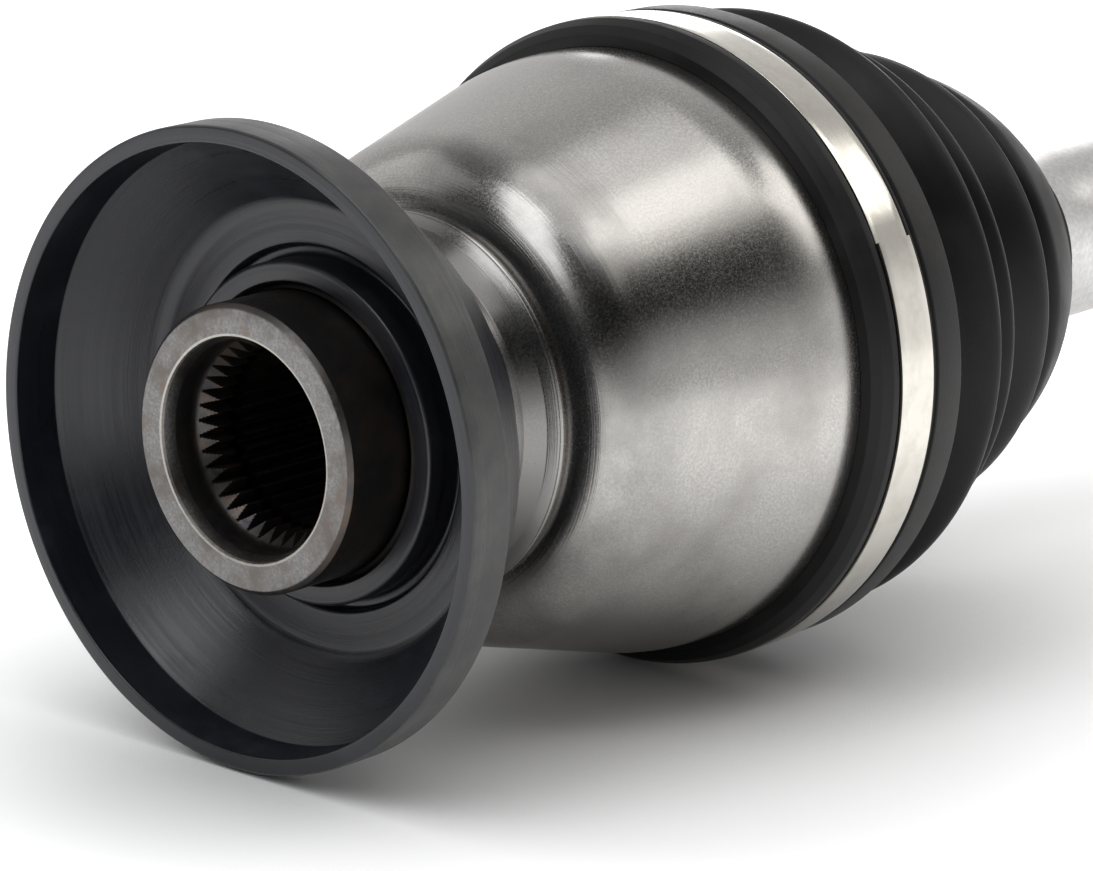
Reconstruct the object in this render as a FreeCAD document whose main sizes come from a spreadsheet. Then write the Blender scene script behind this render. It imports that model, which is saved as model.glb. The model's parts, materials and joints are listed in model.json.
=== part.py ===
import FreeCAD, Part
import os
from math import asin, cos, pi, radians, sin

import Sketcher
from FreeCAD import Placement, Rotation, Vector

# Automotive half shaft. Inboard: a plunging tripod joint whose housing ends in a
# stem with an internal spline and carries a rubber dust shield. Outboard: a
# fixed six-ball joint with a splined stub axle. A solid bar joins the two.
# Stations are measured along the shaft from the front plane of the dust shield.
# Every piece is then set back by pilot_station, so that the origin lies where
# the smooth pilot land of the stem's bore begins. X runs outboard, Z is up.

doc = FreeCAD.newDocument("drive_shaft")
TURNS = (0, 120, 240)
NEEDLE_SIDES = 8
BALL_SIDES = 16
# How far a cutter for tooth spaces stands out of the metal, as a share of the tooth height
CUTTER_OVERSHOOT = 0.4
# Corners of the ball-shaped surfaces, in degrees from the joint's middle plane
RACE_ANGLES = (-15, 0, 15)
CAGE_OUTER_ANGLES = (-13, 0, 13)
CAGE_INNER_ANGLES = (15, 0, -15)
BELL_ANGLES = (40, 27, 14, 1, -12)

SIZES = {
    # Stem of the inboard housing
    "stem_station": 3.1,
    "stem_radius": 22.5,
    "stem_edge": 0.8,
    "mouth_flare": 0.85,
    "pilot_station": 5.4,
    "pilot_step": 0.45,
    "pilot_length": 4.0,
    "lead_in_length": 2.8,
    "stem_teeth": 41,
    "stem_minor_radius": 14.5,
    "stem_tooth_height": 1.75,
    "stem_tooth_taper": 0.8,
    "stem_spline_length": 26.0,
    "relief_length": 4.0,
    "relief_step": 0.75,
    "relief_lead": 0.8,
    "plug_step": 1.1,
    "plug_length": 5.0,
    "plug_wall": 1.6,
    "plug_setback": 3.0,
    # Seat and neck behind the shield
    "seat_station": 16.2,
    "seat_step": 1.2,
    "seat_lead": 0.6,
    "seat_length": 18.3,
    "neck_step": 3.3,
    "neck_length": 2.2,
    "throat_rise": 2.1,
    "throat_length": 2.8,
    "bead_rise": 1.6,
    "bead_lead": 1.0,
    "bead_land": 1.5,
    "bead_back": 0.5,
    "bead_fall": 0.6,
    "nose_rise": 11.9,
    "nose_length": 9.5,
    "nose_bend": 12.9,
    # Cone of the housing and the seat of the boot
    "cone_length": 26.5,
    "cone_rise": 7.2,
    "shoulder_bend": 34.5,
    "shoulder_length": 9.0,
    "shoulder_rise": 1.2,
    "boot_groove_depth": 1.2,
    "boot_groove_width": 5.0,
    "housing_overhang": 10.65,
    "housing_edge": 1.0,
    # Tracks inside the housing
    "track_bottom": 58.4,
    "roof_clearance": 1.6,
    "track_clearance": 0.32,
    "throat_clearance": 3.2,
    # Dust shield
    "rim_radius": 50.0,
    "rim_face": 2.8,
    "rim_edge": 0.4,
    "rim_width": 7.4,
    "rim_back_edge": 0.8,
    "lip_depth": 8.1,
    "web_length": 4.2,
    "web_thickness": 4.2,
    "web_wall": 5.9,
    "shield_wall": 1.8,
    "ring_groove_depth": 2.2,
    "ring_groove_width": 1.7,
    "collar_wall": 3.2,
    "collar_reach": 0.6,
    "hub_wall": 5.9,
    "hub_lead": 1.6,
    "hub_gap": 0.3,
    # Spider, rollers and needles
    "track_room": 29.1,
    "hub_length": 24.0,
    "hub_outer_radius": 17.8,
    "hub_edge": 1.2,
    "trunnion_radius": 8.0,
    "trunnion_tip": 0.5,
    "roller_radius": 14.0,
    "roller_width": 10.0,
    "roller_centre": 30.0,
    "roller_edge": 0.8,
    "needle_radius": 1.5,
    "needle_length": 8.8,
    "bearing_clearance": 0.03,
    "side_play": 0.1,
    "retainer_thickness": 1.4,
    "retainer_lap": 1.0,
    # Bar and its splined ends
    "bar_radius": 17.0,
    "bar_neck_radius": 12.0,
    "bar_swell_length": 12.0,
    "bar_teeth": 28,
    "bar_minor_radius": 12.1,
    "bar_tooth_height": 1.1,
    "bar_tooth_taper": 0.32,
    "spline_clearance": 0.05,
    "flank_clearance": 0.02,
    "bar_overhang": 4.2,
    "bar_end_edge": 1.2,
    "bar_relief_radius": 11.2,
    "bar_relief_lead": 1.5,
    "bar_relief_length": 7.0,
    "bar_taper_length": 2.0,
    "boot_seat_step": 0.9,
    "boot_seat_margin": 1.5,
    "circlip_width": 1.6,
    "circlip_depth": 1.2,
    "circlip_height": 2.2,
    "circlip_gap_angle": 24.0,
    "joint_distance": 430.0,
    # Inboard boot
    "lip_gap": 3.5,
    "boot_nose_length": 4.6,
    "boot_nose_edge": 3.5,
    "boot_nose_chamfer": 1.3,
    "cuff_wall": 4.5,
    "cuff_land": 8.8,
    "boot_fit": 0.02,
    "boot_end_gap": 0.4,
    "fold_length": 69.6,
    "fold_wall": 6.4,
    "inner_knee_share": 0.9,
    "collar_thickness": 3.7,
    "boot_collar_length": 13.0,
    # Bands
    "band_width": 8.5,
    "band_thickness": 0.8,
    "band_side_play": 0.05,
    "band_lap_height": 0.5,
    "band_lap_angle": 100.0,
    "band_lap_start": 64.3,
    "small_band_width": 7.0,
    "ear_height": 4.0,
    "ear_width": 7.0,
    "ear_turn": 240.0,
    "ear_foot_share": 0.6,
    "ear_waist_share": 0.45,
    "ear_shoulder_share": 0.85,
    # Outboard joint
    "race_radius": 25.4,
    "race_half_width": 12.0,
    "ball_clearance": 0.6,
    "cage_wall": 4.4,
    "cage_half_width": 13.2,
    "ball_radius": 7.5,
    "ball_rise": 2.1,
    "ball_groove_clearance": 0.7,
    "ball_groove_lean": 10.0,
    "ball_groove_stop": 4.0,
    "ball_window_clearance": 0.03,
    "window_slack": 2.4,
    "ball_count": 6,
    "bell_wall": 9.4,
    "bell_mouth": 15.0,
    "bell_mouth_edge": 2.0,
    "bell_depth": 24.0,
    "bell_barrel": 17.0,
    "bell_back": 33.0,
    "bell_shoulder_radius": 27.5,
    "bell_edge": 1.0,
    "bell_shoulder_edge": 2.5,
    "stub_radius": 17.5,
    "stub_land": 8.0,
    "stub_spline_margin": 2.0,
    "stub_teeth": 32,
    "stub_minor_radius": 14.0,
    "stub_tooth_height": 1.3,
    "stub_tooth_taper": 0.32,
    "stub_spline_length": 36.0,
    "stub_thread_radius": 11.0,
    "stub_thread_length": 24.0,
    "stub_edge": 1.5,
    # Outboard boot
    "outer_cuff_wall": 4.2,
    "outer_cuff_length": 20.0,
    "outer_cuff_front": 2.0,
    "outer_boot_wall": 3.2,
    "outer_collar_offset": 92.0,
}

sheet = doc.addObject("Spreadsheet::Sheet", "Sizes")
for row, (alias, number) in enumerate(SIZES.items(), start=1):
    sheet.set("A%d" % row, alias)
    sheet.set("B%d" % row, str(number))
    sheet.setAlias("B%d" % row, alias)
doc.recompute()


class Size:
    """A number, with the expression over the sheet that gives it."""

    def __init__(self, value, text):
        self.value = value
        self.text = text

    def __add__(self, other):
        other = as_size(other)
        return Size(self.value + other.value, "(%s + %s)" % (self.text, other.text))

    def __sub__(self, other):
        other = as_size(other)
        return Size(self.value - other.value, "(%s - %s)" % (self.text, other.text))

    def __mul__(self, other):
        other = as_size(other)
        return Size(self.value * other.value, "%s * %s" % (self.text, other.text))

    def __truediv__(self, other):
        other = as_size(other)
        return Size(self.value / other.value, "%s / %s" % (self.text, other.text))


def as_size(number):
    """A bare number as a Size."""
    return number if isinstance(number, Size) else Size(number, "%.9g" % number)


def size(alias):
    """A named size: a cell of the sheet, or one that follows from others."""
    return FOLLOWING.get(alias) or Size(float(sheet.get(alias)), "Sizes." + alias)


def total(*aliases):
    """The sum of named sizes."""
    result = size(aliases[0])
    for alias in aliases[1:]:
        result = result + size(alias)
    return result


def leg(slant, base):
    """The third side of a triangle with a right angle, from its longest side and another."""
    return Size((slant * slant - base * base).value ** 0.5, "sqrt((%s)^2 - (%s)^2)" % (slant.text, base.text))


def sine(angle):
    """Sine of an angle in degrees."""
    return Size(sin(radians(angle.value)), "sin(%s)" % angle.text)


def cosine(angle):
    """Cosine of an angle in degrees."""
    return Size(cos(radians(angle.value)), "cos(%s)" % angle.text)


FOLLOWING = {}

# Radii of the inboard housing, each a step above the one before
FOLLOWING["pilot_radius"] = total("stem_minor_radius", "stem_tooth_height", "pilot_step")
FOLLOWING["mouth_radius"] = total("pilot_radius", "mouth_flare")
FOLLOWING["relief_radius"] = total("stem_minor_radius", "stem_tooth_height", "relief_step")
FOLLOWING["plug_radius"] = total("stem_minor_radius", "plug_step")
FOLLOWING["seat_radius"] = total("stem_radius", "seat_step")
FOLLOWING["neck_radius"] = total("seat_radius", "neck_step")
FOLLOWING["throat_end_radius"] = total("neck_radius", "throat_rise")
FOLLOWING["bead_radius"] = total("throat_end_radius", "bead_rise")
FOLLOWING["nose_foot_radius"] = size("bead_radius") - size("bead_fall")
FOLLOWING["nose_radius"] = total("nose_foot_radius", "nose_rise")
FOLLOWING["cone_radius"] = total("nose_radius", "cone_rise")
FOLLOWING["cuff_seat_radius"] = total("cone_radius", "shoulder_rise")
FOLLOWING["throat_radius"] = total("hub_outer_radius", "throat_clearance")

# Its stations, from the seat of the shield to the open end
FOLLOWING["seat_end"] = total("seat_station", "seat_length")
FOLLOWING["neck_end"] = total("seat_end", "neck_length")
FOLLOWING["throat_end"] = total("neck_end", "throat_length")
FOLLOWING["bead_station"] = total("throat_end", "bead_lead")
FOLLOWING["bead_end"] = total("bead_station", "bead_land")
FOLLOWING["nose_station"] = total("bead_end", "bead_back")
FOLLOWING["nose_end"] = total("nose_station", "nose_length")
FOLLOWING["cone_end"] = total("nose_end", "cone_length")
FOLLOWING["shoulder_end"] = total("cone_end", "shoulder_length")
FOLLOWING["boot_lip_station"] = total("shoulder_end", "lip_gap")
FOLLOWING["band_station"] = total("boot_lip_station", "boot_nose_length")
FOLLOWING["band_end"] = total("band_station", "band_width")
FOLLOWING["groove_station"] = size("band_station") + (size("band_width") - size("boot_groove_width")) * 0.5
FOLLOWING["groove_end"] = total("groove_station", "boot_groove_width")
FOLLOWING["housing_end"] = total("groove_end", "housing_overhang")
FOLLOWING["plug_station"] = size("track_bottom") - size("plug_setback") - size("plug_length")

# Dust shield on its seat
FOLLOWING["collar_station"] = size("seat_station") - size("collar_reach")
FOLLOWING["web_station"] = total("collar_station", "web_length")
FOLLOWING["collar_radius"] = total("seat_radius", "collar_wall")
FOLLOWING["ring_groove_radius"] = total("collar_radius", "ring_groove_width")
FOLLOWING["hub_radius"] = total("seat_radius", "hub_wall")
FOLLOWING["web_radius"] = total("hub_radius", "web_wall")

# Spider and bar
FOLLOWING["spider_station"] = total("track_bottom", "track_room")
FOLLOWING["hub_half"] = size("hub_length") * 0.5
FOLLOWING["retainer_station"] = size("roller_centre") + size("roller_width") * 0.5 + size("side_play")
FOLLOWING["trunnion_reach"] = total("retainer_station", "retainer_thickness", "trunnion_tip")
FOLLOWING["track_roof_radius"] = total("trunnion_reach", "roof_clearance")
FOLLOWING["bar_crown"] = total("bar_minor_radius", "bar_tooth_height")
FOLLOWING["boot_seat_radius"] = total("bar_radius", "boot_seat_step")

# Outboard joint
FOLLOWING["outer_centre"] = total("spider_station", "joint_distance")
FOLLOWING["cage_inner_radius"] = total("race_radius", "ball_clearance")
FOLLOWING["cage_outer_radius"] = total("cage_inner_radius", "cage_wall")
FOLLOWING["ball_centre_radius"] = total("race_radius", "ball_rise")
FOLLOWING["bell_inner_radius"] = total("cage_outer_radius", "ball_clearance")
FOLLOWING["bell_radius"] = total("bell_inner_radius", "bell_wall")
FOLLOWING["mouth_station"] = size("outer_centre") - size("bell_mouth")

# Boots and bands
FOLLOWING["boot_cuff_radius"] = total("cuff_seat_radius", "cuff_wall")
FOLLOWING["boot_cuff_end"] = total("band_end", "cuff_land")
FOLLOWING["inner_collar_station"] = total("boot_cuff_end", "fold_length")
FOLLOWING["boot_collar_radius"] = total("boot_seat_radius", "collar_thickness")
FOLLOWING["collar_margin"] = (size("boot_collar_length") - size("small_band_width")) * 0.5
FOLLOWING["outer_cuff_radius"] = total("bell_radius", "outer_cuff_wall")
FOLLOWING["outer_collar_station"] = size("outer_centre") - size("outer_collar_offset")
FOLLOWING["outer_band_station"] = (
    size("mouth_station") + (size("outer_cuff_length") - size("band_width")) * 0.5
)


def role(body, name):
    """The origin plane or axis of a body that has this role."""
    for feature in body.Origin.OriginFeatures:
        if feature.Role == name:
            return feature
    raise LookupError(name)


def new_body(name):
    """An empty body, set back so that the pilot land begins at the origin."""
    body = doc.addObject("PartDesign::Body", name)
    body.Label = name
    body.setExpression("Placement.Base.x", "-Sizes.pilot_station")
    return body


def new_sketch(body, name, plane):
    """An empty sketch on one of the body's origin planes."""
    sketch = body.newObject("Sketcher::SketchObject", name)
    sketch.AttachmentSupport = [(role(body, plane), "")]
    sketch.MapMode = "FlatFace"
    return sketch


def arc_between(start, end, radius, side):
    """The short arc of this radius between two points, bulging to the left of the way for side 1."""
    chord = end - start
    left = Vector(-chord.y, chord.x, 0).normalize()
    sagitta = radius - (radius**2 - chord.Length**2 / 4) ** 0.5
    middle = (start + end) * 0.5 + left * sagitta * side
    # A sketch runs every arc anticlockwise, so one that bulges to the left is drawn from its far end.
    return Part.Arc(end, middle, start) if side > 0 else Part.Arc(start, middle, end)


def draw(sketch, corners):
    """Draw a closed outline. A corner is (x, y), or (x, y, radius, side) where an arc leads to it."""
    corners = [[as_size(part) for part in corner[:3]] + list(corner[3:]) for corner in corners]
    spots = [Vector(corner[0].value, corner[1].value, 0) for corner in corners]
    shapes = []
    ends = []
    for number, spot in enumerate(spots):
        following = (number + 1) % len(spots)
        if len(corners[following]) > 2:
            bend, side = corners[following][2:]
            shapes.append(arc_between(spot, spots[following], bend.value, side))
            ends.append((2, 1) if side > 0 else (1, 2))
        else:
            shapes.append(Part.LineSegment(spot, spots[following]))
            ends.append((1, 2))
    sketch.addGeometry(shapes, False)
    rules = []
    texts = []
    for number, corner in enumerate(corners):
        before = (number - 1) % len(corners)
        rules.append(Sketcher.Constraint("Coincident", before, ends[before][1], number, ends[number][0]))
        texts.append(None)
        for kind, part in (("DistanceX", corner[0]), ("DistanceY", corner[1])):
            rules.append(Sketcher.Constraint(kind, -1, 1, number, ends[number][0], part.value))
            texts.append(part.text)
        if len(corner) > 2:
            rules.append(Sketcher.Constraint("Radius", before, corner[2].value))
            texts.append(corner[2].text)
    sketch.addConstraint(rules)
    for number, text in enumerate(texts):
        if text:
            sketch.setExpression("Constraints[%d]" % number, text)


def draw_circle(sketch, x, y, radius):
    """Draw one circle."""
    x, y, radius = as_size(x), as_size(y), as_size(radius)
    sketch.addGeometry(Part.Circle(Vector(x.value, y.value, 0), Vector(0, 0, 1), radius.value), False)
    sketch.addConstraint(Sketcher.Constraint("DistanceX", -1, 1, 0, 3, x.value))
    sketch.addConstraint(Sketcher.Constraint("DistanceY", -1, 1, 0, 3, y.value))
    sketch.addConstraint(Sketcher.Constraint("Radius", 0, radius.value))
    for number, part in enumerate((x, y, radius)):
        sketch.setExpression("Constraints[%d]" % number, part.text)


def turned(name, corners, body=None, kind="Revolution"):
    """A body turned about the X axis from a half section, or a turned cut in a body."""
    body = body or new_body(name)
    sketch = new_sketch(body, name + "_section", "XZ_Plane")
    draw(sketch, corners)
    feature = body.newObject("PartDesign::" + kind, name + "_turn")
    feature.Profile = (sketch, [])
    feature.ReferenceAxis = (sketch, ["H_Axis"])
    feature.Angle = 360
    sketch.Visibility = False
    body.Tip = feature
    return body


def repeat_round(body, feature, name, count):
    """Repeat a feature round the X axis."""
    pattern = body.newObject("PartDesign::PolarPattern", name)
    pattern.Originals = [feature]
    pattern.Axis = (role(body, "X_Axis"), [""])
    pattern.Angle = 360
    count = as_size(count)
    pattern.Occurrences = int(round(count.value))
    if count.text.startswith("Sizes."):
        pattern.setExpression("Occurrences", count.text)
    body.Tip = pattern
    return pattern


def cut_along(body, name, station, length, corners=None, circle=None):
    """A pocket in the direction of X, from a station over a length, from an outline or a circle."""
    sketch = new_sketch(body, name + "_section", "YZ_Plane")
    station = as_size(station)
    sketch.setExpression("AttachmentOffset.Base.z", station.text)
    if corners:
        draw(sketch, corners)
    else:
        draw_circle(sketch, *circle)
    pocket = body.newObject("PartDesign::Pocket", name)
    pocket.Profile = (sketch, [])
    pocket.Type = 0
    pocket.setExpression("Length", as_size(length).text)
    pocket.Reversed = True
    body.Tip = pocket
    return pocket


def flank(radius, teeth, minor, height, taper):
    """Half width, at a radius, of the space in a bore: it narrows from the tooth crests to its floor."""
    quarter = minor * (pi * 0.5) / teeth
    wide = quarter * (as_size(1) + taper)
    return wide - quarter * taper * 2 * (radius - minor) / height


def splined_bore(body, name, teeth, minor, height, taper, station, length):
    """Tooth spaces cut outwards from a bore, one of them upright."""
    start = minor - height * CUTTER_OVERSHOOT
    floor = minor + height
    wide = flank(start, teeth, minor, height, taper)
    narrow = flank(floor, teeth, minor, height, taper)
    gap = cut_along(
        body,
        name,
        station,
        length,
        corners=[(wide * -1, start), (wide, start), (narrow, floor), (narrow * -1, floor)],
    )
    return repeat_round(body, gap, name + "_ring", teeth)


def splined_shaft(body, name, teeth, minor, height, taper, station, length):
    """Tooth spaces cut inwards from a shaft beside an upright tooth, which the bore's space would hold."""
    half = as_size(180) / teeth
    play = size("flank_clearance")
    corners = []
    for radius in (minor + height * (1 + CUTTER_OVERSHOOT), minor):
        tooth = flank(radius, teeth, minor, height, taper) - play
        across = radius * sine(half) - tooth * cosine(half)
        up = radius * cosine(half) + tooth * sine(half)
        corners.append((across, up))
    outer, inner = corners
    gap = cut_along(
        body,
        name,
        station,
        length,
        corners=[(outer[0] * -1, outer[1]), (inner[0] * -1, inner[1]), inner, outer],
    )
    sketch = gap.Profile[0]
    sketch.AttachmentOffset = Placement(Vector(0, 0, station.value), Rotation(Vector(0, 0, 1), half.value))
    sketch.setExpression("AttachmentOffset.Rotation.Angle", half.text)
    return repeat_round(body, gap, name + "_ring", teeth)


def group(name, solids):
    """A node of separate solids, in the frame of the stations."""
    feature = doc.addObject("Part::Feature", name)
    feature.Label = name
    feature.Shape = Part.makeCompound(solids)
    feature.Placement = Placement(Vector(-size("pilot_station").value, 0, 0), Rotation())
    feature.setExpression("Placement.Base.x", "-Sizes.pilot_station")
    return feature


def stem_outline():
    """Outside of the inboard housing, from the mouth of the stem to its open end."""
    station = size("stem_station")
    edge = size("stem_edge")
    cuff = size("cuff_seat_radius")
    depth = size("boot_groove_depth")
    end = size("housing_end")
    rim = size("housing_edge")
    return [
        (station, size("mouth_radius")),
        (station, size("stem_radius") - edge),
        (station + edge, size("stem_radius")),
        (size("seat_station"), size("stem_radius")),
        (total("seat_station", "seat_lead"), size("seat_radius")),
        (size("seat_end"), size("seat_radius")),
        (size("seat_end"), size("neck_radius")),
        (size("neck_end"), size("neck_radius")),
        (size("throat_end"), size("throat_end_radius")),
        (size("bead_station"), size("bead_radius")),
        (size("bead_end"), size("bead_radius")),
        (size("nose_station"), size("nose_foot_radius")),
        (size("nose_end"), size("nose_radius"), size("nose_bend"), 1),
        (size("cone_end"), size("cone_radius")),
        (size("shoulder_end"), cuff, size("shoulder_bend"), 1),
        (size("groove_station"), cuff),
        (size("groove_station") + depth, cuff - depth),
        (size("groove_end") - depth, cuff - depth),
        (size("groove_end"), cuff),
        (end - rim, cuff),
        (end, cuff - rim),
    ]


def tulip_housing():
    """Inboard housing: stem with internal spline, cone, and three roller tracks."""
    pilot = size("pilot_station")
    pilot_end = pilot + size("pilot_length")
    spline = pilot_end + size("lead_in_length")
    relief = spline + size("stem_spline_length")
    relief_end = relief + size("relief_length")
    minor = size("stem_minor_radius")
    bottom = size("track_bottom")
    throat = size("throat_radius")
    inside = [
        (size("housing_end"), throat),
        (bottom, throat),
        (bottom, size("plug_radius")),
        (size("plug_station"), size("plug_radius")),
        (size("plug_station"), minor),
        (relief_end, minor),
        (relief_end - size("relief_lead"), size("relief_radius")),
        (relief, size("relief_radius")),
        (relief, minor),
        (spline, minor),
        (pilot_end, size("pilot_radius")),
        (pilot, size("pilot_radius")),
    ]
    body = turned("tulip_housing", stem_outline() + inside)
    splined_bore(
        body,
        "stem_spline",
        size("stem_teeth"),
        minor,
        size("stem_tooth_height"),
        size("stem_tooth_taper"),
        pilot_end,
        relief - pilot_end,
    )
    half = size("roller_radius") + size("track_clearance")
    roof = size("track_roof_radius")
    corner = leg(roof, half)
    track = cut_along(
        body,
        "roller_track",
        bottom,
        size("housing_end") - bottom,
        corners=[
            (half * -1, 0),
            (half, 0),
            (half, corner),
            (half * -1, corner, roof, -1),
        ],
    )
    repeat_round(body, track, "roller_tracks", 3)
    return body


def stem_plug():
    """Pressed cup that closes the stem's bore against the grease."""
    start = size("plug_station")
    wall = size("plug_wall")
    outer = size("plug_radius")
    return turned(
        "stem_plug",
        [
            (start, 0),
            (start, outer),
            (start + size("plug_length"), outer),
            (start + size("plug_length"), outer - wall),
            (start + wall, outer - wall),
            (start + wall, 0),
        ],
    )


def dust_shield():
    """Rubber trumpet pressed on the stem, open towards its mouth."""
    rim = size("rim_radius")
    mouth = rim - size("rim_face")
    edge = size("rim_edge")
    back_edge = size("rim_back_edge")
    web = size("web_station")
    web_back = total("web_station", "web_thickness")
    groove_floor = total("web_station", "ring_groove_depth")
    rear = size("seat_end") - size("hub_gap")
    return turned(
        "dust_shield",
        [
            (0, mouth),
            (0, rim - edge),
            (edge, rim),
            (size("rim_width"), rim),
            (size("rim_width") + back_edge, rim - back_edge),
            (web_back, total("web_radius", "shield_wall")),
            (web_back, size("hub_radius")),
            (rear, size("hub_radius") - size("hub_lead")),
            (rear, size("seat_radius")),
            (size("collar_station"), size("seat_radius")),
            (size("collar_station"), size("collar_radius")),
            (groove_floor, size("collar_radius")),
            (groove_floor, size("ring_groove_radius")),
            (web, size("ring_groove_radius")),
            (web, size("web_radius")),
            (size("lip_depth"), mouth),
        ],
    )


def spider():
    """Hub with three trunnions, splined on the bar."""
    centre = size("spider_station")
    half = size("hub_half")
    outer = size("hub_outer_radius")
    edge = size("hub_edge")
    body = turned(
        "spider",
        [
            (centre - half, 0),
            (centre - half, outer - edge),
            (centre - half + edge, outer),
            (centre + half - edge, outer),
            (centre + half, outer - edge),
            (centre + half, 0),
        ],
    )
    sketch = new_sketch(body, "trunnion_section", "XY_Plane")
    draw_circle(sketch, centre, 0, size("trunnion_radius"))
    trunnion = body.newObject("PartDesign::Pad", "trunnion")
    trunnion.Profile = (sketch, [])
    trunnion.setExpression("Length", size("trunnion_reach").text)
    body.Tip = trunnion
    repeat_round(body, trunnion, "trunnions", 3)
    cut_bar_bore(body, "spider", centre - half, centre + half)
    return body


def cut_bar_bore(body, name, start, end):
    """Bore through a hub, with the tooth spaces that fit the bar's spline."""
    fit = size("spline_clearance")
    minor = size("bar_minor_radius") + fit
    turned(
        name + "_bore",
        [(start - fit, 0), (start - fit, minor), (end + fit, minor), (end + fit, 0)],
        body=body,
        kind="Groove",
    )
    splined_bore(
        body,
        name + "_spline",
        size("bar_teeth"),
        minor,
        size("bar_tooth_height"),
        size("bar_tooth_taper"),
        start,
        end - start,
    )


def along_trunnion(shape, turn):
    """A shape drawn about X and moved on to a trunnion, turned from upright about the shaft."""
    moved = shape.copy()
    upright = Rotation(Vector(0, 1, 0), -90)
    spun = Rotation(Vector(1, 0, 0), turn)
    moved.Placement = Placement(Vector(size("spider_station").value, 0, 0), spun * upright)
    return moved


def roller(number, turn):
    """Ring that rolls in a track, drawn about X and stood on its trunnion."""
    centre = size("roller_centre")
    half = size("roller_width") * 0.5
    edge = size("roller_edge")
    outer = size("roller_radius")
    bore = roller_bore()
    body = turned(
        "roller_%d" % number,
        [
            (centre - half, bore),
            (centre - half, outer - edge),
            (centre - half + edge, outer),
            (centre + half - edge, outer),
            (centre + half, outer - edge),
            (centre + half, bore),
        ],
    )
    body.Placement = Placement(Vector(), Rotation(Vector(1, 0, 0), turn) * Rotation(Vector(0, 1, 0), -90))
    body.setExpression("Placement.Base.x", (size("spider_station") - size("pilot_station")).text)
    return body


def roller_bore():
    """Bore of a roller: trunnion, one needle and two clearances."""
    clearance = size("bearing_clearance")
    return size("trunnion_radius") + size("needle_radius") * 2 + clearance * 2


def needles(number, turn):
    """Full set of needles between a trunnion and its roller, cut with eight flats."""
    radius = size("needle_radius").value
    path = size("trunnion_radius").value + radius + size("bearing_clearance").value
    count = int(pi / asin(radius / path))
    length = size("needle_length").value
    start = size("roller_centre").value - length / 2
    solids = []
    for place in range(count):
        angle = 2 * pi * place / count
        middle = Vector(start, path * cos(angle), path * sin(angle))
        rim = []
        for side in range(NEEDLE_SIDES + 1):
            lean = angle + pi * (2 * side + 1) / NEEDLE_SIDES
            rim.append(middle + Vector(0, radius * cos(lean), radius * sin(lean)))
        flat = Part.Face(Part.makePolygon(rim))
        solids.append(along_trunnion(flat.extrude(Vector(length, 0, 0)), turn))
    return group("needles_%d" % number, solids)


def roller_retainers():
    """Ring at the end of each trunnion that keeps the needles and the roller on."""
    thickness = size("retainer_thickness").value
    start = size("retainer_station").value
    bore = size("trunnion_radius").value
    outer = (roller_bore() + size("retainer_lap")).value
    ring = Part.makeCylinder(outer, thickness, Vector(start, 0, 0), Vector(1, 0, 0))
    hole = Part.makeCylinder(bore, thickness, Vector(start, 0, 0), Vector(1, 0, 0))
    solids = [along_trunnion(ring.cut(hole), turn) for turn in TURNS]
    return group("roller_retainers", solids)


def bar_end(centre, half, way):
    """One end of the bar: tip, circlip groove, spline and relief, in this order."""
    tip = centre - (half + size("bar_overhang")) * way
    ring = centre - (half + size("side_play")) * way
    ring_end = ring - size("circlip_width") * way
    crown = size("bar_crown")
    edge = size("bar_end_edge")
    floor = crown - size("circlip_depth")
    relief = centre + half * way
    relief_end = relief + size("bar_relief_length") * way
    return [
        (tip, 0),
        (tip, crown - edge),
        (tip + edge * way, crown),
        (ring_end, crown),
        (ring_end, floor),
        (ring, floor),
        (ring, crown),
        (relief, crown),
        (relief + size("bar_relief_lead") * way, size("bar_relief_radius")),
        (relief_end, size("bar_relief_radius")),
        (relief_end + size("bar_taper_length") * way, size("bar_neck_radius")),
    ]


def shaft_bar():
    """Solid bar, splined and grooved for a circlip at both ends, slim inside the boots, with two boot seats."""
    inner = bar_end(size("spider_station"), size("hub_half"), 1)
    outer = bar_end(size("outer_centre"), size("race_half_width"), -1)
    bar = size("bar_radius")
    neck = size("bar_neck_radius")
    seat = size("boot_seat_radius")
    margin = size("boot_seat_margin")
    taper = size("bar_taper_length")
    swell = size("bar_swell_length")
    start = size("inner_collar_station") - margin
    end = total("inner_collar_station", "boot_collar_length") + margin
    middle = [(start - swell, neck), (start, seat), (end, seat), (end + taper, bar)]
    start = size("outer_collar_station") - margin
    end = total("outer_collar_station", "boot_collar_length") + margin
    middle += [(start - taper, bar), (start, seat), (end, seat), (end + swell, neck)]
    body = turned("shaft_bar", inner + middle + outer[::-1])
    teeth = size("bar_teeth")
    minor = size("bar_minor_radius")
    height = size("bar_tooth_height")
    taper = size("bar_tooth_taper")
    overhang = size("bar_overhang")
    half = size("hub_half")
    tip = size("spider_station") - half - overhang
    splined_shaft(body, "inner_spline", teeth, minor, height, taper, tip, half * 2 + overhang)
    half = size("race_half_width")
    start = size("outer_centre") - half
    splined_shaft(body, "outer_spline", teeth, minor, height, taper, start, half * 2 + overhang)
    return body


def circlip(name, station):
    """Open ring in a groove of the bar."""
    play = size("side_play").value
    floor = (size("bar_crown") - size("circlip_depth")).value
    outer = floor + size("circlip_height").value
    start = station.value + play / 2
    end = start + size("circlip_width").value - play
    corners = [(start, floor), (start, outer), (end, outer), (end, floor), (start, floor)]
    outline = Part.makePolygon([Vector(along, 0, up) for along, up in corners])
    ring = Part.Face(outline).revolve(Vector(), Vector(1, 0, 0), 360 - size("circlip_gap_angle").value)
    return group(name, [ring])


def zone(centre, radius, angles):
    """Corners of a ball-shaped surface, at these angles from the middle plane."""
    return [(centre + radius * sin(radians(a)), radius * cos(radians(a))) for a in angles]


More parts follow.
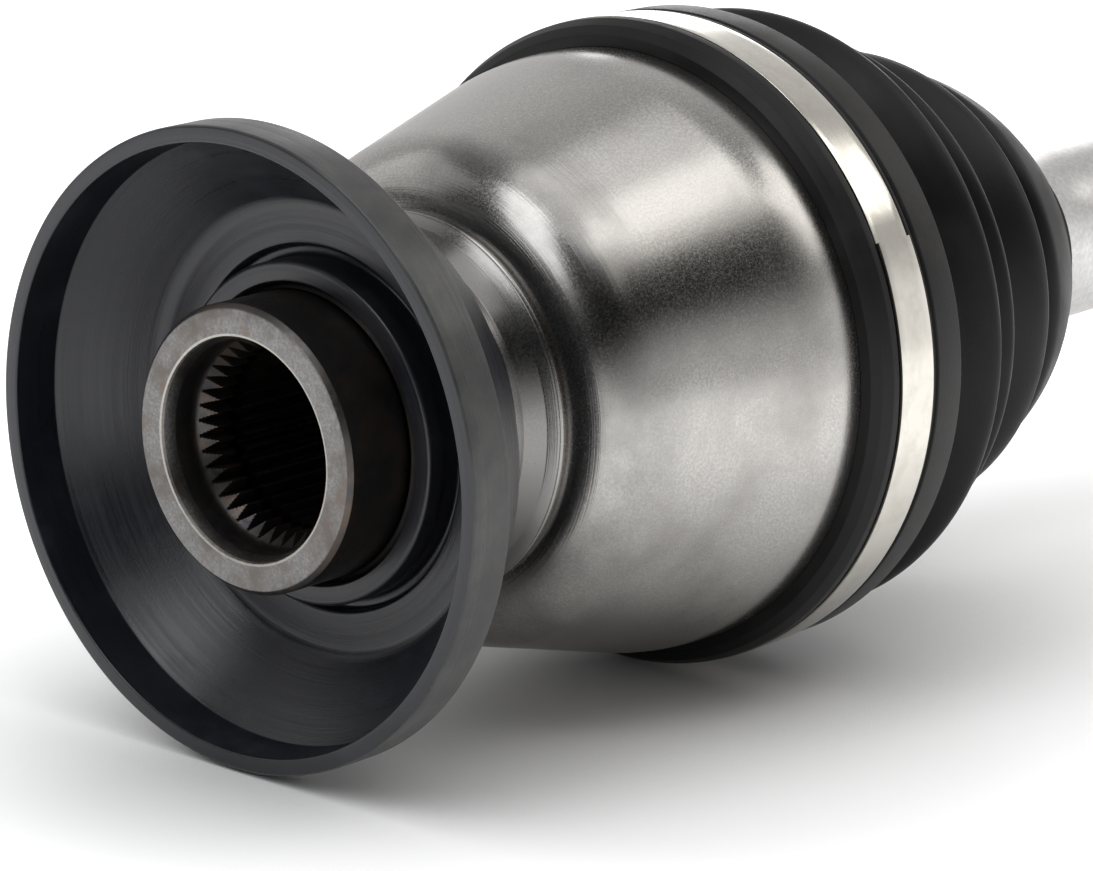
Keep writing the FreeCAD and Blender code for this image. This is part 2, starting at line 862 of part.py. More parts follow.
def inner_race():
    """Ball race on the outboard end of the bar, with a straight groove for each ball."""
    centre = size("outer_centre")
    half = size("race_half_width")
    radius = size("race_radius")
    fall = leg(radius, half)
    blank = turned(
        "inner_race_blank",
        [(centre - half, 0), (centre - half, fall)]
        + zone(centre, radius, RACE_ANGLES)
        + [(centre + half, fall), (centre + half, 0)],
    )
    cut_bar_bore(blank, "race", centre - half, centre + half)
    groove = total("ball_radius", "ball_groove_clearance").value
    path = size("ball_centre_radius").value
    lean = radians(size("ball_groove_lean").value)
    reach = half.value * 2
    count = int(size("ball_count").value)
    cutters = []
    for place in range(count):
        for slope in (-lean, lean):
            touch = Vector(path * sin(slope), 0, path * cos(slope))
            along = Vector(cos(slope), 0, -sin(slope))
            tool = Part.makeCylinder(groove, reach * 2, touch - along * reach, along)
            tool.rotate(Vector(), Vector(1, 0, 0), 360.0 / count * place)
            cutters.append(tool)
    tools = doc.addObject("Part::Feature", "race_grooves")
    tools.Shape = cutters[0].multiFuse(cutters[1:])
    tools.Placement = Placement(Vector((centre - size("pilot_station")).value, 0, 0), Rotation())
    tools.setExpression("Placement.Base.x", (centre - size("pilot_station")).text)
    race = doc.addObject("Part::Cut", "inner_race")
    race.Label = "inner_race"
    race.Base = blank
    race.Tool = tools
    return race


def cage():
    """Ring that holds the balls in one plane, with a window for each."""
    centre = size("outer_centre")
    half = size("cage_half_width")
    outer = size("cage_outer_radius")
    inner = size("cage_inner_radius")
    body = turned(
        "cage",
        [(centre - half, leg(inner, half)), (centre - half, leg(outer, half))]
        + zone(centre, outer, CAGE_OUTER_ANGLES)
        + [(centre + half, leg(outer, half)), (centre + half, leg(inner, half))]
        + zone(centre, inner, CAGE_INNER_ANGLES),
    )
    long = total("ball_radius", "ball_window_clearance")
    wide = total("ball_radius", "window_slack")
    sketch = new_sketch(body, "window_section", "XY_Plane")
    draw(
        sketch,
        [
            (centre - long, wide * -1),
            (centre + long, wide * -1),
            (centre + long, wide),
            (centre - long, wide),
        ],
    )
    window = body.newObject("PartDesign::Pocket", "window")
    window.Profile = (sketch, [])
    window.Type = 0
    window.setExpression("Length", (outer * 2).text)
    window.Reversed = True
    body.Tip = window
    repeat_round(body, window, "windows", size("ball_count"))
    return body


def faceted_ball(radius, sides):
    """A ball cut with flats, as many round its girth as sides and half as many from pole to pole."""
    levels = sides // 2
    rings = []
    for level in range(1, levels):
        height = -radius * cos(pi * level / levels)
        width = radius * sin(pi * level / levels)
        turns = [2 * pi * step / sides for step in range(sides)]
        rings.append([Vector(width * cos(turn), width * sin(turn), height) for turn in turns])
    outlines = [rings[0], rings[-1]]
    for lower, upper in zip(rings, rings[1:]):
        for step in range(sides):
            after = (step + 1) % sides
            outlines.append([lower[step], lower[after], upper[after], upper[step]])
    faces = [Part.Face(Part.makePolygon(outline + outline[:1])) for outline in outlines]
    return Part.Solid(Part.Shell(faces))


def balls():
    """The balls of the outboard joint, one upright."""
    path = size("ball_centre_radius").value
    centre = size("outer_centre").value
    count = int(size("ball_count").value)
    solids = []
    for place in range(count):
        ball = faceted_ball(size("ball_radius").value, BALL_SIDES)
        ball.translate(Vector(centre, 0, path))
        ball.rotate(Vector(centre, 0, 0), Vector(1, 0, 0), 360.0 / count * place)
        solids.append(ball)
    return group("balls", solids)


def outer_housing():
    """Bell of the outboard joint with its stub axle."""
    centre = size("outer_centre")
    inner = size("bell_inner_radius")
    outer = size("bell_radius")
    mouth = size("mouth_station")
    mouth_edge = size("bell_mouth_edge")
    opening = leg(inner, size("bell_mouth") - mouth_edge)
    floor = total("outer_centre", "bell_depth")
    edge = size("bell_edge")
    shoulder_edge = size("bell_shoulder_edge")
    back = total("outer_centre", "bell_back")
    stub = back + size("stub_land")
    spline_end = stub + size("stub_spline_length")
    crown = total("stub_minor_radius", "stub_tooth_height")
    thread_end = spline_end + size("stub_thread_length")
    thread = size("stub_thread_radius")
    tip = size("stub_edge")
    body = turned(
        "outer_housing",
        [(floor, 0), (floor, leg(inner, size("bell_depth")))]
        + zone(centre, inner, BELL_ANGLES)
        + [
            (mouth + mouth_edge, opening),
            (mouth, opening + mouth_edge),
            (mouth, outer - edge),
            (mouth + edge, outer),
            (total("outer_centre", "bell_barrel"), outer),
            (back - shoulder_edge, size("bell_shoulder_radius") + shoulder_edge),
            (back, size("bell_shoulder_radius")),
            (back, size("stub_radius")),
            (stub, size("stub_radius")),
            (stub, crown),
            (spline_end, crown),
            (spline_end, thread),
            (thread_end - tip, thread),
            (thread_end, thread - tip),
            (thread_end, 0),
        ],
    )
    track = cut_along(
        body,
        "ball_groove",
        mouth,
        total("bell_mouth", "bell_depth") - size("ball_groove_stop"),
        circle=(0, size("ball_centre_radius"), total("ball_radius", "ball_groove_clearance")),
    )
    repeat_round(body, track, "ball_grooves", size("ball_count"))
    splined_shaft(
        body,
        "stub_spline",
        size("stub_teeth"),
        size("stub_minor_radius"),
        size("stub_tooth_height"),
        size("stub_tooth_taper"),
        total("outer_centre", "bell_back", "stub_land", "stub_spline_margin"),
        size("stub_spline_length") - size("stub_spline_margin"),
    )
    return body


def band_groove(station, width, radius):
    """Corners of the shallow groove in a boot that a band lies in."""
    floor = radius - size("band_thickness")
    return [(station, radius), (station, floor), (station + width, floor), (station + width, radius)]


def inner_boot():
    """Rubber boot of the inboard joint: cuff with a band groove, falling folds, and a collar behind the last."""
    lip = size("boot_lip_station")
    edge = size("boot_nose_edge")
    chamfer = size("boot_nose_chamfer")
    cuff = size("boot_cuff_radius")
    seat = total("cuff_seat_radius", "boot_fit")
    collar = size("inner_collar_station")
    collar_end = total("inner_collar_station", "boot_collar_length")
    grip = total("boot_seat_radius", "boot_fit")
    outer = size("boot_collar_radius")
    inside = total("housing_end", "boot_end_gap")
    fall = cuff - outer
    knee = size("inner_knee_share")
    # Valleys and crests, the last one wide, as shares of the way and of the fall from cuff to collar
    folds = [
        (0.086, 0.219),
        (0.193, 0.063),
        (0.28, 0.247),
        (0.341, 0.201),
        (0.447, 0.553),
        (0.627, 0.396),
        (0.705, 0.61),
        (0.75, 0.5),
        (0.892, 0.628),
        (0.95, 0.694),
        (0.971, 0.84),
        (0.983, 1.0),
    ]
    crests = []
    for along, down in folds:
        station = size("boot_cuff_end") + size("fold_length") * along
        crests.append((station, cuff - fall * down))
    return turned(
        "inner_boot",
        [(lip, seat), (lip, cuff - edge), (lip + chamfer, cuff - chamfer), (lip + edge, cuff)]
        + band_groove(size("band_station"), size("band_width"), cuff)
        + [(size("boot_cuff_end"), cuff)]
        + crests
        + [(collar, outer)]
        + band_groove(total("inner_collar_station", "collar_margin"), size("small_band_width"), outer)
        + [
            (collar_end, outer),
            (collar_end, grip),
            (collar, grip),
            (size("boot_cuff_end") + size("fold_length") * knee, cuff - fall * knee),
            (inside, seat - size("fold_wall")),
            (inside, seat),
        ],
    )


def outer_boot():
    """Rubber boot of the outboard joint, with folds that rise from the collar to the cuff."""
    seat = total("bell_radius", "boot_fit")
    cuff = size("outer_cuff_radius")
    start = size("outer_collar_station")
    collar_end = total("outer_collar_station", "boot_collar_length")
    mouth = size("mouth_station")
    cuff_start = mouth - size("outer_cuff_front")
    cuff_end = total("mouth_station", "outer_cuff_length")
    grip = total("boot_seat_radius", "boot_fit")
    outer = size("boot_collar_radius")
    inside = mouth - size("boot_end_gap")
    # Valleys and crests, as shares of the way and of the rise from collar to cuff
    folds = [(0.05, 0.0), (0.17, 0.34), (0.29, 0.16), (0.42, 0.62), (0.55, 0.42), (0.69, 0.88), (0.82, 0.7)]
    crests = []
    for along, up in folds:
        crests.append((collar_end + (cuff_start - collar_end) * along, outer + (cuff - outer) * up))
    return turned(
        "outer_boot",
        [(start, grip), (start, outer)]
        + band_groove(total("outer_collar_station", "collar_margin"), size("small_band_width"), outer)
        + crests
        + [(cuff_start, cuff)]
        + band_groove(size("outer_band_station"), size("band_width"), cuff)
        + [
            (cuff_end, cuff),
            (cuff_end, seat),
            (inside, seat),
            (inside, seat - size("outer_boot_wall")),
            (collar_end, grip),
        ],
    )


def band_ring(name, station, width, seat):
    """The closed ring of a band, as a body."""
    start = station + size("band_side_play")
    end = station + width - size("band_side_play")
    outer = total("band_thickness") + seat
    return turned(name, [(start, seat), (start, outer), (end, outer), (end, seat)])


def large_band(name, station, radius):
    """Flat steel band with its end lapped over the start."""
    width = size("band_width")
    play = size("band_side_play")
    body = band_ring(name, station, width, radius - size("band_thickness"))
    inner = radius - size("band_thickness") * 0.5
    outer = radius + size("band_lap_height")
    sketch = new_sketch(body, name + "_lap_section", "XZ_Plane")
    draw(
        sketch,
        [
            (station + play, inner),
            (station + play, outer),
            (station + width - play, outer),
            (station + width - play, inner),
        ],
    )
    sketch.AttachmentOffset = Placement(Vector(), Rotation(Vector(1, 0, 0), size("band_lap_start").value))
    sketch.setExpression("AttachmentOffset.Rotation.Angle", "Sizes.band_lap_start")
    lap = body.newObject("PartDesign::Revolution", name + "_lap")
    lap.Profile = (sketch, [])
    lap.ReferenceAxis = (sketch, ["H_Axis"])
    lap.setExpression("Angle", "Sizes.band_lap_angle")
    body.Tip = lap
    return body


def small_band(name, station):
    """Narrow steel band with one pinched ear."""
    width = size("small_band_width")
    play = size("band_side_play")
    thick = size("band_thickness")
    seat = size("boot_collar_radius") - thick + size("boot_fit")
    body = band_ring(name, station, width, seat)
    half = size("ear_width") * 0.5
    foot = half * size("ear_foot_share")
    waist = half * size("ear_waist_share")
    shoulder = half * size("ear_shoulder_share")
    base = seat + thick * 0.5
    crown = seat + thick + size("ear_height")
    sketch = new_sketch(body, name + "_ear_section", "YZ_Plane")
    turn = size("ear_turn")
    start = station + play
    sketch.AttachmentOffset = Placement(Vector(0, 0, start.value), Rotation(Vector(0, 0, 1), turn.value))
    sketch.setExpression("AttachmentOffset.Base.z", start.text)
    sketch.setExpression("AttachmentOffset.Rotation.Angle", turn.text)
    draw(
        sketch,
        [
            (half * -1, base),
            (foot * -1, base),
            (waist * -1, crown - thick),
            (waist, crown - thick),
            (foot, base),
            (half, base),
            (shoulder, crown),
            (shoulder * -1, crown),
        ],
    )
    ear = body.newObject("PartDesign::Pad", name + "_ear")
    ear.Profile = (sketch, [])
    ear.setExpression("Length", (width - play * 2).text)
    body.Tip = ear
    return body


nodes = [
    tulip_housing(),
    dust_shield(),
    stem_plug(),
    spider(),
    roller_retainers(),
    shaft_bar(),
    inner_boot(),
    outer_boot(),
    inner_race(),
    cage(),
    balls(),
    outer_housing(),
]
for number, turn in enumerate(TURNS, start=1):
    nodes.append(roller(number, turn))
    nodes.append(needles(number, turn))

hub_front = size("spider_station") - size("hub_half") - size("side_play")
nodes.append(circlip("spider_circlip", hub_front - size("circlip_width")))
race_back = total("outer_centre", "race_half_width", "side_play")
nodes.append(circlip("race_circlip", race_back))

nodes.append(large_band("inner_large_band", size("band_station"), size("boot_cuff_radius")))
nodes.append(large_band("outer_large_band", size("outer_band_station"), size("outer_cuff_radius")))
nodes.append(small_band("inner_small_band", total("inner_collar_station", "collar_margin")))
nodes.append(small_band("outer_small_band", total("outer_collar_station", "collar_margin")))

doc.recompute()

for item in doc.Objects:
    if "Invalid" in item.State or "Error" in item.State:
        raise RuntimeError("%s did not build" % item.Label)
for node in nodes:
    if node.Shape.isNull() or not node.Shape.isValid():
        raise RuntimeError("%s has no sound shape" % node.Label)

os.makedirs("parts", exist_ok=True)
for node in nodes:
    node.Shape.exportStep(os.path.join("parts", node.Label + ".step"))
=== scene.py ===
import json
import math

import bmesh
import bpy
import numpy as np
from mathutils import Matrix, Vector


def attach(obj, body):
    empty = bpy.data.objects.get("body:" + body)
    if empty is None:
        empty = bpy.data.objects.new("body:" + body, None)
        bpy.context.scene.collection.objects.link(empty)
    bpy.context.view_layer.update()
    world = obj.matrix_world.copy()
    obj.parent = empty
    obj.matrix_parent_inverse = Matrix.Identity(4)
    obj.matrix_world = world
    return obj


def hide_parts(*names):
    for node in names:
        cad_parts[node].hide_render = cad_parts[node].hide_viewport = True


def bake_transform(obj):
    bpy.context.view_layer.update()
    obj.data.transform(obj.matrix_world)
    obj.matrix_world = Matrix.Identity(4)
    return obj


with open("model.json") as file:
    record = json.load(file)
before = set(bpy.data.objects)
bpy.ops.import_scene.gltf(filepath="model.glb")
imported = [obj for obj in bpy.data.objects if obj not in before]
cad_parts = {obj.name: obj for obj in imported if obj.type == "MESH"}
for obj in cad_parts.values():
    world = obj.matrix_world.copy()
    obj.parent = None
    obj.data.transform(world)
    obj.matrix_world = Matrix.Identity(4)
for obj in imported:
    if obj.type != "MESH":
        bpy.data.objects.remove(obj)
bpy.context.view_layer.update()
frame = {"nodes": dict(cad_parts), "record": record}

# Half shaft lying on a pale floor, seen from its splined stem. All stations and radii
# are in millimetres: stations run along the shaft from the front plane of the dust
# shield, and turns go round it in degrees, from the top towards the camera.

MM = 0.001
ORIGIN_STATION = 5.4


# Outlines.


def run(corners):
    """An outline through corners (station, radius), with an arc of a given bend where a corner is
    (station, radius, bend, side). The arc bulges to the left of the way for side 1."""
    points = [np.array([corners[0][:2]], float)]
    for before, corner in zip(corners, corners[1:]):
        start, end = np.array(before[:2], float), np.array(corner[:2], float)
        if len(corner) == 2:
            points.append(end[None])
            continue
        bend, side = corner[2:]
        chord = end - start
        length = np.hypot(*chord)
        left = np.array([-chord[1], chord[0]]) / length
        middle = (start + end) / 2 - left * side * math.sqrt(bend**2 - length**2 / 4)
        first, last = start - middle, end - middle
        opening = math.atan2(first[0] * last[1] - first[1] * last[0], first @ last)
        steps = max(4, math.ceil(abs(opening) * bend / 0.7))
        turn = np.linspace(0, opening, steps + 1)[1:, None]
        across = np.array([-first[1], first[0]])
        points.append(middle + first * np.cos(turn) + across * np.sin(turn))
    return np.vstack(points)


def eased(points, edge, closed=True, steps=3):
    """The outline with every corner sharper than 14 degrees rounded to about this radius: a circle that
    touches both sides, no further from the corner than 0.4 of the shorter side."""
    before = np.roll(points, 1, axis=0)
    after = np.roll(points, -1, axis=0)
    back, on = before - points, after - points
    back_length = np.hypot(back[:, 0], back[:, 1])
    on_length = np.hypot(on[:, 0], on[:, 1])
    back = back / np.maximum(back_length, 1e-9)[:, None]
    on = on / np.maximum(on_length, 1e-9)[:, None]
    bend = np.pi - np.arccos(np.clip((back * on).sum(1), -1, 1))
    edge = np.broadcast_to(np.asarray(edge, float), bend.shape)
    cut = np.minimum(edge * np.tan(bend / 2), 0.4 * np.minimum(back_length, on_length))
    sharp = (bend > math.radians(14)) & (cut > 1e-3)
    if not closed:
        sharp[[0, -1]] = False
    share = np.linspace(0, 1, steps + 1)[:, None]
    result = []
    for number, corner in enumerate(points):
        if not sharp[number]:
            result.append(corner[None])
            continue
        first, last = corner + back[number] * cut[number], corner + on[number] * cut[number]
        result.append((1 - share) ** 2 * first + 2 * share * (1 - share) * corner + share**2 * last)
    return np.vstack(result)


def divided(points, step):
    """The outline with its long sides divided into lengths of about step."""
    parts = []
    for start, end in zip(points, points[1:]):
        pieces = max(1, round(np.hypot(*(end - start)) / step))
        parts.append(start + (end - start) * np.linspace(0, 1, pieces + 1)[:-1, None])
    return np.vstack(parts + [points[-1:]])


# Surfaces.


def skin(name, grid, finishes, bands=None, round_too=True, crease=32):
    """A closed surface over a grid of points, rings by turns by (x, y, z). Turns close on themselves, and so
    do rings unless round_too is false. bands gives the finish of the faces after each ring."""
    rings, turns = grid.shape[:2]
    ring = np.arange(rings if round_too else rings - 1)
    turn = np.arange(turns)
    here, there = ring[:, None] * turns, (ring[:, None] + 1) % rings * turns
    faces = np.stack(
        [
            here + turn,
            here + (turn + 1) % turns,
            there + (turn + 1) % turns,
            there + turn,
        ],
        axis=-1,
    ).reshape(-1, 4)
    mesh = bpy.data.meshes.new(name)
    mesh.from_pydata(grid.reshape(-1, 3) * MM, [], faces)
    if bands is not None:
        mesh.polygons.foreach_set("material_index", np.repeat(bands[: len(ring)], turns))
    work = bmesh.new()
    work.from_mesh(mesh)
    bmesh.ops.remove_doubles(work, verts=work.verts, dist=2e-6)
    if work.calc_volume(signed=True) < 0:
        bmesh.ops.reverse_faces(work, faces=work.faces)
    work.to_mesh(mesh)
    work.free()
    mesh.polygons.foreach_set("use_smooth", np.ones(len(mesh.polygons), bool))
    mesh.set_sharp_from_angle(angle=math.radians(crease))
    for material in finishes:
        mesh.materials.append(material)
    piece = bpy.data.objects.new(name, mesh)
    bpy.context.collection.objects.link(piece)
    return piece


def places(stations, radii, turns):
    """Points of a turned surface: x is the station less the origin's, y is less the radius times the sine of
    the turn, and z is the radius times its cosine."""
    stations, radii, turns = np.broadcast_arrays(stations, radii, turns)
    return np.stack([stations - ORIGIN_STATION, -radii * np.sin(turns), radii * np.cos(turns)], axis=-1)


def turned(name, points, material, sides, shape=None):
    """A turned piece: the outline goes round the shaft's axis. shape may change stations and radii by
    turn."""
    turns = np.linspace(0, 2 * np.pi, sides, endpoint=False)[None]
    stations, radii = points[:, :1] + 0 * turns, points[:, 1:] + 0 * turns
    if shape:
        stations, radii = shape(stations, radii, turns)
    return skin(name, places(stations, radii, turns), [FINISHES[material]])


def ripple(turns, seed, waves):
    """A smooth random curve round the shaft, about -1 to 1: a sum of sines with these numbers of waves."""
    dice = np.random.default_rng(seed)
    total = 0 * turns
    for wave in waves:
        total = total + dice.uniform(0.4, 1) * np.sin(wave * turns + dice.uniform(0, 2 * np.pi))
    return total / len(waves)


def space(turns, teeth, minor, height, taper):
    """Radius of a toothed ring: a space with a flat floor at minor plus height, straight flanks that close
    towards the floor, and crests at minor. One space is upright."""
    pitch = 2 * np.pi / teeth
    quarter = minor * np.pi / 2 / teeth
    place = np.abs((turns + pitch / 2) % pitch - pitch / 2)
    floor = minor + height
    low, high = quarter * (1 + taper), quarter * (1 - taper)
    inner, outer = math.atan(low / minor), math.atan(high / floor)
    share = np.clip((inner - place) / (inner - outer), 0, 1)
    return minor + height * share


def tooth_turns(teeth, shares):
    """Turns that fall on the corners of the teeth: shares of half a pitch, to both sides of each space."""
    half = np.pi / teeth
    shares = np.array(shares)
    one = np.concatenate([shares, [1.0], 2 - shares[:0:-1]]) * half
    return (one[None] + np.arange(teeth)[:, None] * 2 * half).reshape(1, -1)


# Node groups.


def put(tree, kind, settings=None, **inputs):
    """A node, with settings, and inputs by name: a value or a socket of another node. Underscores stand for
    spaces, and at_N for the input in place N."""
    node = tree.nodes.new("ShaderNode" + kind)
    for key, value in (settings or {}).items():
        setattr(node, key, value)
    for key, value in inputs.items():
        socket = node.inputs[int(key[3:])] if key.startswith("at_") else node.inputs[key.replace("_", " ")]
        if isinstance(value, bpy.types.NodeSocket):
            tree.links.new(value, socket)
        else:
            socket.default_value = value
    return node


def sum_up(tree, how, first, second=0.0, clamp=False):
    """A Math node's result."""
    node = put(tree, "Math", {"operation": how, "use_clamp": clamp}, at_0=first, at_1=second)
    return node.outputs[0]


def new_group(name, inputs, outputs):
    """An empty shader group with number inputs (name: value) and outputs (name: kind)."""
    group = bpy.data.node_groups.new(name, "ShaderNodeTree")
    for label, value in inputs.items():
        socket = group.interface.new_socket(label, in_out="INPUT", socket_type="NodeSocketFloat")
        socket.default_value = value
    for label, kind in outputs.items():
        group.interface.new_socket(label, in_out="OUTPUT", socket_type="NodeSocket" + kind)
    return group, group.nodes.new("NodeGroupInput"), group.nodes.new("NodeGroupOutput")


def make_turning_lines():
    """Fine lines round the shaft, as a cutting tool leaves: noise squeezed along the station and the radius,
    and drawn out round the axis."""
    group, given, result = new_group("turning_lines", {"Fine": 4000.0, "Run": 18.0}, {"Mask": "Float"})
    place = put(group, "TexCoord").outputs["Object"]
    split = put(group, "SeparateXYZ", Vector=place)
    flat = put(group, "CombineXYZ", Y=split.outputs["Y"], Z=split.outputs["Z"]).outputs[0]
    radius = put(group, "VectorMath", {"operation": "LENGTH"}, at_0=flat).outputs["Value"]
    along = sum_up(group, "MULTIPLY", split.outputs["X"], given.outputs["Fine"])
    across = sum_up(group, "MULTIPLY", split.outputs["Y"], given.outputs["Run"])
    up = sum_up(group, "MULTIPLY", split.outputs["Z"], given.outputs["Run"])
    vector = put(group, "CombineXYZ", X=along, Y=across, Z=up).outputs[0]
    depth = sum_up(group, "MULTIPLY", radius, given.outputs["Fine"])
    noise = put(group, "TexNoise", {"noise_dimensions": "4D"}, Vector=vector, W=depth, Scale=1.0, Detail=2.0)
    group.links.new(noise.outputs[0], result.inputs["Mask"])
    return group


def make_blotches():
    """Soft uneven patches: noise at a scale, with its middle stretched between Low and High."""
    inputs = {"Scale": 60.0, "Low": 0.42, "High": 0.62}
    group, given, result = new_group("blotches", inputs, {"Mask": "Float"})
    place = put(group, "TexCoord").outputs["Object"]
    noise = put(group, "TexNoise", Vector=place, Scale=given.outputs["Scale"], Detail=5.0, Roughness=0.6)
    spread = put(
        group,
        "MapRange",
        {"interpolation_type": "SMOOTHSTEP"},
        Value=noise.outputs[0],
        From_Min=given.outputs["Low"],
        From_Max=given.outputs["High"],
    )
    group.links.new(spread.outputs[0], result.inputs["Mask"])
    return group


def make_stretch_mask():
    """1 between two stations, in metres from the origin, with soft ends."""
    inputs = {"From": 0.0, "To": 0.1, "Soft": 0.002}
    group, given, result = new_group("stretch_mask", inputs, {"Mask": "Float"})
    place = put(group, "TexCoord").outputs["Object"]
    along = put(group, "SeparateXYZ", Vector=place).outputs["X"]
    sides = []
    for end, sign in (("From", 1), ("To", -1)):
        past = sum_up(group, "SUBTRACT", along, given.outputs[end])
        scaled = sum_up(group, "DIVIDE", past, given.outputs["Soft"])
        side = sum_up(group, "MULTIPLY_ADD", scaled, 0.5 * sign)
        side.node.inputs[2].default_value = 0.5
        side.node.use_clamp = True
        sides.append(side)
    both = sum_up(group, "MULTIPLY", sides[0], sides[1])
    group.links.new(both, result.inputs["Mask"])
    return group


def make_shell_mask():
    """1 further from the shaft's axis than a radius, in metres, with a soft edge."""
    group, given, result = new_group("shell_mask", {"From": 0.05, "Soft": 0.001}, {"Mask": "Float"})
    place = put(group, "TexCoord").outputs["Object"]
    split = put(group, "SeparateXYZ", Vector=place)
    flat = put(group, "CombineXYZ", Y=split.outputs["Y"], Z=split.outputs["Z"]).outputs[0]
    radius = put(group, "VectorMath", {"operation": "LENGTH"}, at_0=flat).outputs["Value"]
    past = sum_up(group, "SUBTRACT", radius, given.outputs["From"])
    mask = sum_up(group, "DIVIDE", past, given.outputs["Soft"], clamp=True)
    group.links.new(mask, result.inputs["Mask"])
    return group


TURNING_LINES = make_turning_lines()
BLOTCHES = make_blotches()
STRETCH_MASK = make_stretch_mask()
SHELL_MASK = make_shell_mask()


def use(tree, group, **inputs):
    """A group's mask, with these inputs."""
    node = tree.nodes.new("ShaderNodeGroup")
    node.node_tree = group
    for key, value in inputs.items():
        node.inputs[key].default_value = value
    return node.outputs["Mask"]


def stretch(tree, start, end, soft=1.0):
    """The mask between two stations, given in millimetres from the shield's front plane."""
    place = {"From": (start - ORIGIN_STATION) * MM, "To": (end - ORIGIN_STATION) * MM, "Soft": soft * MM}
    return use(tree, STRETCH_MASK, **place)


def blend_colours(tree, mask, first, second):
    """Colour that goes from first to second as the mask goes from 0 to 1."""
    node = put(tree, "Mix", {"data_type": "RGBA"})
    for value, socket in ((mask, 0), (first, 6), (second, 7)):
        if isinstance(value, bpy.types.NodeSocket):
            tree.links.new(value, node.inputs[socket])
        else:
            node.inputs[socket].default_value = value if isinstance(value, float) else (*value, 1)
    return node.outputs[2]


def blend_numbers(tree, mask, first, second):
    """Number that goes from first to second as the mask goes from 0 to 1."""
    return put(tree, "MapRange", Value=mask, To_Min=first, To_Max=second).outputs[0]


def finish(name, **settings):
    """A new material: its tree and its Principled shader, with plain values set on the shader's sockets."""
    material = bpy.data.materials.new(name)
    material.use_nodes = True
    tree = material.node_tree
    shader = tree.nodes["Principled BSDF"]
    for key, value in settings.items():
        shader.inputs[key.replace("_", " ")].default_value = value
    return material, tree, shader


def wire(tree, shader, colour=None, roughness=None, height=None, strength=0.3, distance=0.0001):
    """Connect what a material has worked out to its shader. height goes through a Bump node."""
    if colour is not None:
        tree.links.new(colour, shader.inputs["Base Color"])
    if roughness is not None:
        tree.links.new(roughness, shader.inputs["Roughness"])
    if height is not None:
        bump = put(tree, "Bump", Strength=strength, Distance=distance, Height=height)
        tree.links.new(bump.outputs[0], shader.inputs["Normal"])


# Finishes.


def turned_steel():
    """Satin turned steel of the housing: tool lines near the neck, a fine speckle on the cone, smudges, and
    painted shade on the neck and in the hollow behind the shield.
    """
    material, tree, shader = finish("turned_steel", Metallic=1.0)
    fine = use(tree, TURNING_LINES, Fine=4200.0, Run=30.0)
    coarse = use(tree, TURNING_LINES, Fine=900.0, Run=12.0)
    speckle = use(tree, BLOTCHES, Scale=2600.0, Low=0.3, High=0.75)
    smudge = use(tree, BLOTCHES, Scale=38.0, Low=0.45, High=0.72)
    patch = use(tree, BLOTCHES, Scale=26.0, Low=0.38, High=0.6)
    neck = stretch(tree, 36.0, 60.0, 6.0)
    # collar marks the neck and throat, stations 30 to 41, behind the shield's rim, where shade is painted
    collar = stretch(tree, 30.0, 41.0, 1.5)
    colour = blend_colours(tree, speckle, (0.40, 0.385, 0.37), (0.55, 0.535, 0.51))
    colour = blend_colours(tree, smudge, colour, (0.36, 0.345, 0.33))
    # Painted shade: patches darker in the hollow from station 40 to 53, behind the shield
    painted_shade_hollow = sum_up(tree, "MULTIPLY", patch, sum_up(tree, "MULTIPLY", stretch(tree, 40.0, 53.0, 5.0), 0.6))
    colour = blend_colours(tree, painted_shade_hollow, colour, (0.2, 0.195, 0.19))
    # Painted shade: the neck and throat behind the shield's rim made darker
    colour = blend_colours(tree, collar, colour, (0.22, 0.215, 0.21))
    rough = blend_numbers(tree, speckle, 0.19, 0.27)
    rough = sum_up(tree, "ADD", rough, sum_up(tree, "MULTIPLY", smudge, 0.06))
    share = sum_up(tree, "ADD", sum_up(tree, "MULTIPLY", neck, 1.6), 0.3)
    lines = sum_up(tree, "MULTIPLY", sum_up(tree, "ADD", fine, coarse), share)
    height = sum_up(tree, "ADD", lines, sum_up(tree, "MULTIPLY", speckle, 0.12))
    wire(tree, shader, colour, rough, height, 0.3, 0.00004)
    return material


def oxide_steel():
    """Dark oxide of the stem, its bore and its teeth, with brown and blue stains, and a ring of painted shade
    where the shield's collar meets the stem.
    """
    material, tree, shader = finish("oxide_steel", Metallic=0.9)
    speckle = use(tree, BLOTCHES, Scale=1300.0, Low=0.35, High=0.68)
    stain = use(tree, BLOTCHES, Scale=130.0, Low=0.4, High=0.65)
    blue = use(tree, BLOTCHES, Scale=90.0, Low=0.55, High=0.75)
    lines = use(tree, TURNING_LINES, Fine=3500.0, Run=25.0)
    colour = blend_colours(tree, stain, (0.075, 0.072, 0.07), (0.12, 0.094, 0.078))
    colour = blend_colours(tree, blue, colour, (0.05, 0.055, 0.075))
    # Painted shade: a near-black ring where the shield's collar meets the stem
    colour = blend_colours(tree, stretch(tree, 15.5, 17.5, 0.3), colour, (0.012, 0.011, 0.01))
    rough = blend_numbers(tree, speckle, 0.32, 0.45)
    wire(tree, shader, colour, rough, sum_up(tree, "ADD", lines, speckle), 0.25, 0.00003)
    return material


